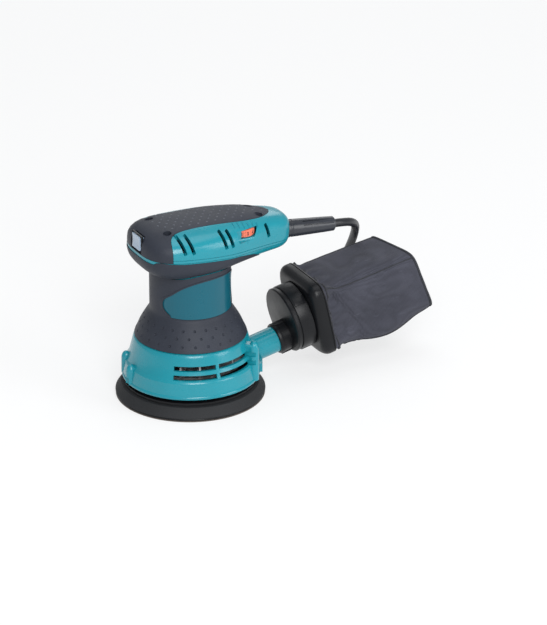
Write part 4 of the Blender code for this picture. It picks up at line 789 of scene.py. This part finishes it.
def housing_pieces():
    low_z = SHROUD_TOP + 0.0003
    body = head("motor_shell", 0.0)
    skin = RUBBER_T + 0.0003
    outer = flare_profile(skin, low_z, NECK_TOP)
    band = [(NECK_R - 0.0002, 0.1135), (NECK_R - 0.0002, 0.0815), (NECK_R + 0.0004, 0.0770), (0.0300, 0.0770),
            (0.0300, 0.1135)]
    panel = carve(lathe("panel", band, 144, True), ("&", window_block("window_fill", -0.0004)))
    bore = skin + 0.0024
    inner = [(0, NECK_TOP + 0.004)] + flare_profile(bore, low_z, NECK_TOP + 0.004)
    inner += [(FLARE[0][0] - bore, low_z - 0.002), (0, low_z - 0.002)]
    carve(body, ("&", parting_slab("below", -0.06, -0.00015)),
          ("+", lathe("neck_outer", [(0, NECK_TOP)] + outer + [(0, low_z)], 144)),
          ("-", head("head_hollow", 0.0024)), ("-", lathe("neck_hollow", inner, 144)), guard_room())
    piece(body, "teal_plastic", replaces=("motor_housing",))
    # The window panel takes the darker teal: painted shade.
    piece(panel, "teal_plastic", look=SHADED_PANEL)

    belly = head("belly_skin", -0.0005)
    matrix = Matrix.Translation(PARTING_FRONT) @ Matrix.Rotation(atan2(PARTING_SLOPE, 1), 4, "Y")
    lobe = [(-0.1000, -0.0460), (0.0950, -0.0460), (0.0990, -0.0130), (0.0985, -0.0070), (0.0900, -0.0030),
            (0.0750, -0.0012), (0.0200, -0.0008), (0.0050, -0.0001), (0.0022, -0.0010), (0.0012, -0.0028),
            (-0.1000, -0.0028)]
    cut = prism("belly_region", lobe, -0.06, 0.06, matrix @ Matrix.Rotation(pi / 2, 4, "X"))
    carve(belly, ("-", head("belly_core", 0.0002)), ("&", cut),
          ("-", rod("neck_room", NECK_R - 0.0010, 0.08, 0.13, 96)))
    piece(belly, "dark_rubber")

    top = NECK_TOP - 0.0005
    profile = flare_profile(0.0, low_z + 0.0003, top) + flare_profile(RUBBER_T, low_z + 0.0003, top)[::-1]
    grip = lathe("neck_skin", profile, 160, True)
    dots = []
    stations = [(rise, r) for r, rise in FLARE]
    for k, z in enumerate((0.0704, 0.0648, 0.0588)):
        r = smooth_value(z - SHROUD_TOP - 0.0006, stations)
        for i in range(26):
            angle = 2 * pi * (i + 0.5 * (k % 2)) / 26
            bm = bmesh.new()
            bmesh.ops.create_icosphere(bm, subdivisions=2, radius=0.00125)
            dots.append(put("dot", bm, Matrix.Translation(around(r + 0.0004, angle, z))))
    carve(grip, ("-", head("head_room", -0.0012)), ("-", window_block("window_cut", 0.0)),
          ("-", merged("dots", dots)))
    piece(grip, "dark_rubber", replaces=("neck_grip",))
    rim = window_block("rim_block", 0.0009)
    ring = lathe("panel_rim", [(NECK_R + 0.0004, 0.1140), (NECK_R + 0.0004, 0.0760), (0.0320, 0.0760),
                               (0.0320, 0.1140)], 144, True)
    carve(ring, ("&", rim), ("-", window_block("rim_room", -0.0001)))
    piece(ring, "dark_rubber")


def bell_profile():
    stations = ((0.0175, 0.0557), (0.0180, 0.0563), (0.0190, 0.0566), (0.0200, 0.0563), (0.0207, 0.0556),
                (0.0250, 0.0549), (0.0296, 0.0540), (0.0306, 0.0540), (0.0316, 0.0535), (0.0328, 0.0523),
                (0.0340, 0.0517), (0.0390, 0.0500), (0.0445, 0.0486), (0.0490, 0.0475), (0.0508, 0.0470),
                (0.0520, 0.0465), (0.0530, 0.0455))
    return stations


def bell_radius(z):
    stations = bell_profile()
    for (z0, r0), (z1, r1) in zip(stations, stations[1:]):
        if z <= z1:
            return r0 + (r1 - r0) * max(0.0, z - z0) / (z1 - z0)
    return stations[-1][1]


def shroud_piece():
    steps = 160
    stations = bell_profile()[::-1]
    outer = [(0, SHROUD_TOP), (0.0440, SHROUD_TOP)]
    for (z0, r0), (z1, r1) in zip(stations, stations[1:]):
        outer += [(r0 + (r1 - r0) * k / 2, z0 + (z1 - z0) * k / 2) for k in range(2)]
    outer += [(stations[-1][1], stations[-1][0]), (0, SHROUD_LOW)]
    bell = lathe("shroud_shell", outer, steps)
    ups = []
    for i, (angle, top, radius) in enumerate(((pi, 0.0355, COLUMN_R), (radians(45), 0.0525, COLUMN_R),
                                              (radians(-45), 0.0525, COLUMN_R),
                                              (radians(155), 0.0372, 0.0040))):
        circle = COLUMN_CIRCLE_R - (0.0012 if radius < COLUMN_R else 0)
        spot = around(circle, angle)
        dome = [(0, top)] + [(radius * sin(t), top - radius * 1.5 * (1 - cos(t))) for t in
                             [pi / 2 * k / 6 for k in range(1, 7)]]
        dome += [(radius + 0.0002, SHROUD_LOW + 0.0010), (0, SHROUD_LOW + 0.0010)]
        ups.append(("+", lathe(f"column_{i}", dome, 36, False, Matrix.Translation((spot.x, spot.y, 0)))))
        inward = around(circle - 0.0060, angle)
        matrix = Matrix.Translation((inward.x, inward.y, 0)) @ Matrix.Rotation(angle, 4, "Z")
        ups.append(("+", slab(f"web_{i}", (-0.0020, -radius * 0.9, SHROUD_LOW + 0.0014),
                              (0.0060, radius * 0.9, top - 0.0024), matrix, 0.0006, 2)))
    ups.append(("+", rod("spout_outer", SPOUT_R, -0.0300, SPOUT_REACH, 72, SPOUT)))
    sector = [(0.030, -0.020), (0.030, 0.020)]
    sector += [tuple(around(0.0585, radians(30 - 60 * i / 24)))[:2] for i in range(25)]
    ups.append(("+", prism("spout_root", sector, SHROUD_LOW + 0.0012, 0.0262)))
    inner = [(0, SHROUD_TOP - 0.0030), (0.0446, SHROUD_TOP - 0.0030)]
    inner += [(bell_radius(z) - SHROUD_WALL, z) for z in (0.0490, 0.0390, 0.0336, 0.0316, 0.0205, 0.0175)]
    inner += [(bell_radius(SHROUD_LOW) - SHROUD_WALL, 0.0), (0, 0.0)]
    cuts = [("-", lathe("bell_hollow", inner, steps)), ("-", rod("flange_bore", 0.0290, 0.0475, 0.0555, 96)),
            ("-", rod("spout_bore", SPOUT_R - SPOUT_WALL, -0.0360, SPOUT_REACH + 0.002, 60, SPOUT))]
    for level in VENT_LEVELS:
        for side in (-1, 1):
            for half in (-1, 1):
                middle = side * pi / 2 + half * (VENT_SPAN + VENT_RIB) / 2
                ends = [middle - VENT_SPAN / 2 + VENT_SPAN * i / 10 for i in range(11)]
                outline = [tuple(around(0.0600, a))[:2] for a in ends] + [tuple(around(0.0440, a))[:2]
                                                                        for a in ends[::-1]]
                cuts.append(("-", prism("vent", outline, level - VENT_T / 2, level + VENT_T / 2)))
    for angle in (pi, radians(45), radians(-45)):
        spot = around(COLUMN_CIRCLE_R - 0.0004, angle)
        cuts.append(("-", rod("column_hole", 0.0022, SHROUD_LOW - 0.002, 0.0245, 24,
                              Matrix.Translation((spot.x, spot.y, 0)))))
    spot = around(COLUMN_CIRCLE_R + COLUMN_R + 0.0004, pi)
    cuts.append(("-", rod("front_recess", 0.0030, SHROUD_LOW - 0.002, 0.0245, 32,
                          Matrix.Translation((spot.x, spot.y, 0)))))
    carve(bell, cuts.pop(0))
    for sign, extra in ups:
        carve(extra, ("-", lathe("bell_hollow", inner, steps)))
    carve(bell, *ups)
    piece(carve(bell, *cuts), "teal_plastic", replaces=("shroud",))


def dust_holes():
    cuts = []
    for i in range(HOLES):
        spot = around(HOLE_CIRCLE_R, 2 * pi * (i + 0.5) / HOLES)
        at = Matrix.Translation((spot.x, spot.y + ORBIT, 0))
        cuts.append(("-", rod("hole", HOLE_R, -0.01, 0.03, 32, at)))
    return cuts


def pad_pieces():
    low = 0.0026
    at = Matrix.Translation((0, ORBIT, 0))
    profile = [(0.0560, low + 0.0084), (0.0569, low + 0.0081), (0.0586, low + 0.0052), (0.0606, low + 0.0024),
               (0.0614, low + 0.0012), (0.0615, low + 0.0006), (0.0611, low), (0.0085, low),
               (0.0085, low + 0.0084)]
    rims = carve(lathe("pad_rim", profile, 160, True, at), *dust_holes())
    piece(rims, "foam", body="pad", replaces=("pad_foam",))
    for name, outer, inner, z0, z1, slot, node in (
            ("disc_sheet", PAD_R - 0.0003, 0.0, 0.0, 0.0010, "abrasive", "abrasive_disc"),
            ("loop_sheet", PAD_R - 0.0005, 0.0085, 0.0013, 0.0023, "black_plastic", "hook_facing")):
        if inner:
            ob = lathe(name, [(outer - 0.0002, z1), (outer, z1 - 0.0003), (outer, z0), (inner, z0),
                              (inner, z1)], 160, True, at)
        else:
            ob = lathe(name, [(0, z1), (outer, z1), (outer, z0 + 0.0002), (outer - 0.0003, z0), (0, z0)], 160,
                       False, at)
        piece(carve(ob, *dust_holes()), slot, body="pad", replaces=(node,))


def small_pieces():
    for i, (x, y) in enumerate(SCREW_PLACES):
        low = 0.1190 if x < 0 else 0.1245
        profile = [(0, 0.1464), (0.0022, 0.1464), (0.0031, 0.1461), (0.0034, 0.1455), (0.0034, 0.1440),
                   (0.0018, 0.1440), (0.0018, low), (0, low)]
        at = Matrix.Translation((x, y, 0))
        screw = lathe(f"cover_screw_fine_{i + 1}", profile, 48, False, at)
        cuts = []
        for turn in (20, 110):
            matrix = at @ Matrix.Rotation(radians(turn), 4, "Z")
            cuts.append(("-", slab("cross", (-0.0020, -0.00045, 0.1450), (0.0020, 0.00045, 0.1470), matrix)))
        piece(carve(screw, *cuts), "steel", replaces=(f"cover_screw_{i + 1}",), look=DARK_STEEL)

    switch_pieces()
    dial_pieces()
    guard_piece()


def switch_pieces():
    x, z = SWITCH_MID.x, SWITCH_MID.z
    bezel = slab("bezel_fine", (x - 0.0034, -0.0092, z - 0.0074), (x - 0.0010, 0.0092, z + 0.0070), None,
                 0.0009, 4)
    hole = slab("hole", (x - 0.0100, -0.0084, z - 0.0068), (x + 0.0100, 0.0084, z + 0.0066), None, 0.0008, 3)
    piece(carve(bezel, ("-", hole)), "black_plastic", replaces=("switch_bezel",))
    rings = []
    for k in range(13):
        t = -1 + 2 * k / 12
        wide = 0.0080 * (1 - abs(t) ** 10 * 0.06)
        y = t * wide
        squeeze = 1 - max(0.0, abs(t) - 0.90) * 2.2
        outline = [(-0.0039, 0.0055), (-0.0036, 0.0030), (-0.0035, 0.0), (-0.0037, -0.0030),
                   (-0.0041, -0.0053), (-0.0039, -0.0057), (-0.0032, -0.0058), (0.0016, -0.0042),
                   (0.0018, 0.0), (0.0016, 0.0042), (-0.0030, 0.0058), (-0.0037, 0.0057)]
        fine = rounded_path(outline, steps=4)
        rings.append([Vector((x + a * squeeze, y, z + b * squeeze)) for a, b in fine])
    piece(loft("rocker_fine", rings), "pale_switch", body="switch", replaces=("switch_rocker",), angle=60)


def dial_pieces():
    """The thumbwheel with its milled rim, and the digits on it."""
    ribs = 36
    rim = DIAL_R - 0.0013
    outline = []
    for i in range(ribs):
        for turn, radius in ((-0.22, rim), (0.0, rim + 0.00005), (0.22, rim), (0.34, rim - 0.0006),
                             (0.66, rim - 0.0006)):
            spot = around(radius, 2 * pi * (i + turn) / ribs)
            outline.append((spot.x, spot.y))
    wheel = prism("dial_fine", outline, -DIAL_T / 2, DIAL_T / 2, Matrix.Translation(DIAL_MID))
    grooves = []
    for low in (-0.0034, 0.0020):
        grooves.append(("-", lathe("edge", [(rim + 0.001, low + 0.0014), (rim + 0.001, low),
                                            (rim - 0.0007, low), (rim - 0.0007, low + 0.0014)], 72, True,
                                   Matrix.Translation(DIAL_MID))))
    stem = rod("stem", 0.0025, -0.0049, 0.0, 24, Matrix.Translation(DIAL_MID))
    piece(carve(wheel, *grooves, ("+", stem)), "orange_plastic", body="dial", replaces=("speed_dial",),
          angle=25)
    digits = []
    for number in range(1, 6):
        curve = bpy.data.curves.new("digit", "FONT")
        curve.body = str(number)
        curve.size = 0.0038
        curve.extrude = 0.00012
        curve.align_x = "CENTER"
        curve.align_y = "CENTER"
        ob = bpy.data.objects.new("digit", curve)
        SCENE.collection.objects.link(ob)
        bpy.context.view_layer.update()
        mesh = bpy.data.meshes.new_from_object(ob.evaluated_get(bpy.context.evaluated_depsgraph_get()))
        bpy.data.objects.remove(ob, do_unlink=True)
        angle = radians(-90 + (number - 3) * 32)
        turn = Matrix.Rotation(angle + pi / 2, 4, "Z") @ Matrix.Rotation(pi / 2, 4, "X")
        matrix = Matrix.Translation(DIAL_MID + around(rim + 0.00006, angle)) @ turn
        mesh.transform(matrix)
        ob = bpy.data.objects.new("digit", mesh)
        SCENE.collection.objects.link(ob)
        digits.append(ob)
    piece(merged("dial_digits", digits), "orange_plastic", body="dial", look=DARK)


def guard_piece():
    """The tapered strain relief with its three long grooves."""
    matrix = Matrix.Translation(GUARD_START) @ Matrix.Rotation(pi / 2 + GUARD_DROP, 4, "Y")
    bore = CORD_R + 0.0002
    profile = [(bore + 0.0006, GUARD_LENGTH + 0.0002), (0.0054, GUARD_LENGTH),
               (0.0060, GUARD_LENGTH - 0.0006)]
    z, taper = 0.0150, (0.0061 - 0.0076) / GUARD_LENGTH
    profile += [(0.0076 + taper * GUARD_LENGTH * k / 6, GUARD_LENGTH * k / 6) for k in (5, 4, 3, 2)]
    profile += [(0.0076 + taper * z, z), (0.0074, 0.0060), (0.0070, 0.0054), (0.0070, 0.0042),
                (0.0076, 0.0036), (0.0076, 0.0010), (0.0072, 0.0004), (0.0060, 0.0004), (0.0060, -0.0085),
                (0.0074, -0.0085), (0.0074, -0.0105), (bore, -0.0105)]
    grooves = []
    for angle in (-150, -120, 60):
        turn = matrix @ Matrix.Rotation(radians(angle), 4, "Z")
        grooves.append(("-", slab("groove", (0.0058, -0.0005, 0.0150), (0.0090, 0.0005, 0.0440), turn, 0.0003,
                                  2)))
    piece(carve(lathe("guard_fine", profile, 64, True, matrix), *grooves), "black_plastic",
          replaces=("cord_guard",), look=GUARD)


# ---------------------------------------------------------------- dust nozzle, frame and bag
def rounded(w, h, z, power=6.0, count=120, shift=0.0):
    return [Vector((a - CAP_RISE, b, z + shift * b)) for a, b in oval(h, w, power, count)]


def nozzle_pieces():
    end = CAP_START + CAP_T
    collar = [(0, 0.0128), (0.0126, 0.0128), (0.0126, 0.0030), (0.0130, 0.0026), (0.0130, 0.0006),
              (0.0126, -0.0002), (0.0122, -0.0006), (0, -0.0006)]
    nozzle = lathe("nozzle_fine", collar, 96, False, SPOUT)
    profile = [(0, end), (CAP_R - 0.0008, end), (CAP_R, end - 0.0008)]
    profile += [(CAP_R, CAP_START + 0.0056), (CAP_R - 0.0003, CAP_START + 0.0050),
                (CAP_R - 0.0012, CAP_START + 0.0048), (CAP_R - 0.0012, CAP_START + 0.0038),
                (CAP_R - 0.0004, CAP_START + 0.0035), (CAP_R - 0.0002, CAP_START + 0.0012),
                (CAP_R - 0.0010, CAP_START + 0.0002), (CAP_R - 0.0022, CAP_START), (0, CAP_START)]
    ups = [("+", lathe("cap", profile, 144, False, CAP)),
           ("+", slab("tab", (0.0080, -0.0030, 0.0020), (0.0146, 0.0030, CAP_START + 0.001),
                      SPOUT, 0.0005, 2)),
           ("+", slab("top_rib", (-0.0142, -0.0022, 0.0010), (-0.0100, 0.0022, CAP_START + 0.001),
                      SPOUT, 0.0005, 2))]
    for angle in (100, 220, 340):
        matrix = CAP @ Matrix.Rotation(radians(angle), 4, "Z")
        ups.append(("+", slab("lug", (CAP_R - 0.0030, -0.0035, CAP_START + 0.0060),
                              (CAP_R + 0.0005, 0.0035, end - 0.0010), matrix, 0.0004, 2)))
    cuts = [("-", rod("hollow", CAP_R - 0.0024, CAP_START + 0.0024, end - 0.0024, 96, CAP)),
            ("-", rod("mouth", MOUTH_R + 0.0007, end - 0.0034, end + 0.002, 72, CAP)),
            ("-", rod("bore", SPOUT_R + 0.0003, -0.004, SPOUT_REACH + 0.0003, 72, SPOUT)),
            ("-", rod("throat", SPOUT_R - SPOUT_WALL, SPOUT_REACH - 0.001, CAP_START + 0.0034, 60, SPOUT))]
    piece(carve(nozzle, *ups, *cuts), "black_plastic", body="nozzle", replaces=("dust_nozzle",))
    start = CAP_START + CAP_T + 0.0003
    back = start + FRAME_T
    rings = []
    for drop, rise in ((0.0060, 0.0), (0.0040, 0.0003), (0.0026, 0.0012), (0.0012, 0.0028), (0.0004, 0.0046),
                       (0.0000, 0.0066), (0.0000, 0.0096), (0.0006, 0.0100), (0.0006, 0.0106),
                       (0.0000, 0.0110), (0.0002, 0.0119)):
        rings.append(rounded(FRAME_W - drop, FRAME_H - drop, start + rise))
    hollow = [rounded(FRAME_W - 0.0030, FRAME_H - 0.0030, start + 0.0036),
              rounded(FRAME_W - 0.0024, FRAME_H - 0.0024, back + 0.002)]
    collar = lathe("collar", [(MOUTH_R, start + 0.0040), (MOUTH_R, start - 0.0054),
                              (MOUTH_R - 0.002, start - 0.0054), (MOUTH_R - 0.002, start + 0.0040)], 72, True,
                   CAP)
    ob = carve(loft("frame_fine", rings, SPOUT), ("+", collar), ("-", loft("frame_hollow", hollow, SPOUT)),
               ("-", rod("frame_mouth", MOUTH_R - 0.0020, start - 0.008, start + 0.008, 72, CAP)))
    piece(ob, "black_plastic", body="bag", replaces=("bag_frame",))
    return back


BAG_AROUND = 96
BAG_ALONG = 44


def bag_piece(back):
    """The cloth bag: a loft swollen and creased by a short cloth simulation, then its tape and seams."""
    first = back - 0.0012
    length = BAG_LENGTH + 0.0030
    rings = []
    for k in range(BAG_ALONG + 1):
        s = k / BAG_ALONG
        wide = FRAME_W - 0.0016 + (BAG_END_W - FRAME_W) * s
        tall = FRAME_H - 0.0016 + (BAG_END_H + 0.0082 - FRAME_H) * s
        sag = 0.0078 * sin(pi * s ** 1.35)
        ring = []
        for p in rounded(wide, tall, first + length * s, 7.0 + 0.5 * s, BAG_AROUND, -0.16 * s):
            down = (p.x + CAP_RISE) / tall
            across = p.y / wide
            p.x += sag * max(0.0, down) ** 2 * (0.7 - 0.3 * across) - 0.0007 * s
            p.z += 0.0050 * s * down
            fold = 0.0010 * sin(s * 9 + across * 4) * max(0.0, down) * sin(pi * s)
            fold += 0.0012 * exp(-((s - 0.10) / 0.09) ** 2) * sin(across * 11 + down * 7)
            crumple = noise.noise(Vector((p.x * 60, p.y * 60, p.z * 45))) * 0.0016 * sin(pi * s) ** 0.5
            away = Vector((down, across, 0)).normalized()
            ring.append(p + away * (fold + crumple))
        rings.append(ring)
    for inset in (0.90, 0.72, 0.50, 0.26):
        last = rings[BAG_ALONG]
        middle = sum(last, Vector()) / len(last)
        rings.append([middle + (p - middle) * inset + Vector((0, 0, 0.0004)) for p in last])
    bag = loft("bag_cloth", rings, SPOUT, (False, True))
    rest = [v.co.copy() for v in bag.data.vertices]
    pinned = bag.vertex_groups.new(name="pinned")
    for i in range(BAG_AROUND * 2):
        pinned.add([i], 1.0, "REPLACE")
    change = bag.modifiers.new("cloth", "CLOTH")
    settings = change.settings
    settings.quality = 6
    settings.mass = 0.12
    settings.tension_stiffness = 22
    settings.compression_stiffness = 16
    settings.shear_stiffness = 8
    settings.bending_stiffness = 0.35
    settings.shrink_min = -0.03
    settings.use_pressure = True
    settings.uniform_pressure_force = 3.0
    settings.vertex_group_mass = "pinned"
    settings.effector_weights.gravity = 0.25
    change.collision_settings.use_collision = False
    change.point_cache.frame_start = 1
    change.point_cache.frame_end = 20
    for number in range(1, 21):
        SCENE.frame_set(number)
    graph = bpy.context.evaluated_depsgraph_get()
    moved = [v.co.copy() for v in bag.evaluated_get(graph).data.vertices]
    bag.modifiers.clear()
    SCENE.frame_set(1)
    for v, old, new in zip(bag.data.vertices, rest, moved):
        shift = new - old
        if shift.length > 0.0045:
            shift = shift.normalized() * 0.0045
        v.co = old + shift
    world = [v.co.copy() for v in bag.data.vertices]
    thick = bag.modifiers.new("thick", "SOLIDIFY")
    thick.thickness = 0.0007
    thick.offset = -1
    fine = bag.modifiers.new("fine", "SUBSURF")
    fine.levels = 1
    fine.render_levels = 1
    piece(bag, "cloth", body="bag", replaces=("dust_bag",), angle=70)
    ring_at = lambda k: world[BAG_AROUND * k:BAG_AROUND * (k + 1)]
    for name, k, radius in (("end_piping", BAG_ALONG, 0.00105), ("mouth_tape", 2, 0.00085)):
        tape(name, ring_at(k), radius, True)
    for name, corner in (("seam_low_near", 0.125), ("seam_low_far", 0.875), ("seam_top_near", 0.375),
                         ("seam_top_far", 0.625)):
        column = round(corner * BAG_AROUND) % BAG_AROUND
        tape(name, [world[BAG_AROUND * k + column] for k in range(2, BAG_ALONG + 1)], 0.00055, False)


def tape(name, points, radius, closed):
    """A sewn cord of cloth that follows points of the bag."""
    curve = bpy.data.curves.new(name, "CURVE")
    curve.dimensions = "3D"
    curve.bevel_depth = radius
    curve.bevel_resolution = 3
    curve.use_fill_caps = not closed
    spline = curve.splines.new("POLY")
    spline.points.add(len(points) - 1)
    for point, co in zip(spline.points, points):
        point.co = (*co, 1)
    spline.use_cyclic_u = closed
    ob = bpy.data.objects.new(name, curve)
    SCENE.collection.objects.link(ob)
    piece(ob, "cloth", body="bag", look=TAPE)


# ---------------------------------------------------------------- studio
def studio():
    look = Look("floor", (0.30, 0.302, 0.304), 0.75, Emission_Color=(1.0, 1.0, 1.0, 1.0),
                Emission_Strength=0.65, Specular_IOR_Level=0.0)
    look.link(look.tint(look.noise(3, 4), 0.985, 1.0), "Base Color")
    look.bump(look.noise(60, 5), 0.0002)
    bpy.ops.mesh.primitive_plane_add(size=24, location=(0.1, 0.0, 0.0))
    floor = bpy.context.object
    floor.name = "floor"
    floor.data.materials.append(look.mat)
    world = bpy.data.worlds.new("studio")
    SCENE.world = world
    world.use_nodes = True
    world.node_tree.nodes["Background"].inputs["Color"].default_value = (0.94, 0.97, 1.0, 1)
    world.node_tree.nodes["Background"].inputs["Strength"].default_value = 0.44
    for name, place, aim, size, power in (
            ("key", (-0.55, -1.85, 1.25), (0.04, 0, 0.08), (1.1, 1.3), 38),
            ("fill", (1.3, -1.6, 0.8), (0.06, 0, 0.07), (0.9, 1.4), 16),
            ("top", (0.1, 0.1, 2.1), (0.05, 0, 0.08), (2.0, 1.6), 14),
            ("back", (0.9, 1.6, 1.0), (0.05, 0, 0.08), (1.2, 0.8), 5)):
        data = bpy.data.lights.new(name, "AREA")
        data.shape = "RECTANGLE"
        data.size, data.size_y = size
        data.energy = power
        ob = bpy.data.objects.new(name, data)
        SCENE.collection.objects.link(ob)
        ob.location = place
        ob.rotation_mode = "QUATERNION"
        ob.rotation_quaternion = (Vector(aim) - Vector(place)).to_track_quat("-Z", "Y")
    SCENE.view_settings.view_transform = "Standard"


def node_looks():
    """The frame's own nodes get the material of their slot."""
    for row in frame["record"]["subparts"]:
        ob = NODES[row["node"]]
        ob.data.materials.clear()
        ob.data.materials.append(LOOKS[row["material_slot"]])


camera()
node_looks()
cord()
head_pieces()
housing_pieces()
shroud_piece()
pad_pieces()
small_pieces()
bag_piece(nozzle_pieces())
studio()
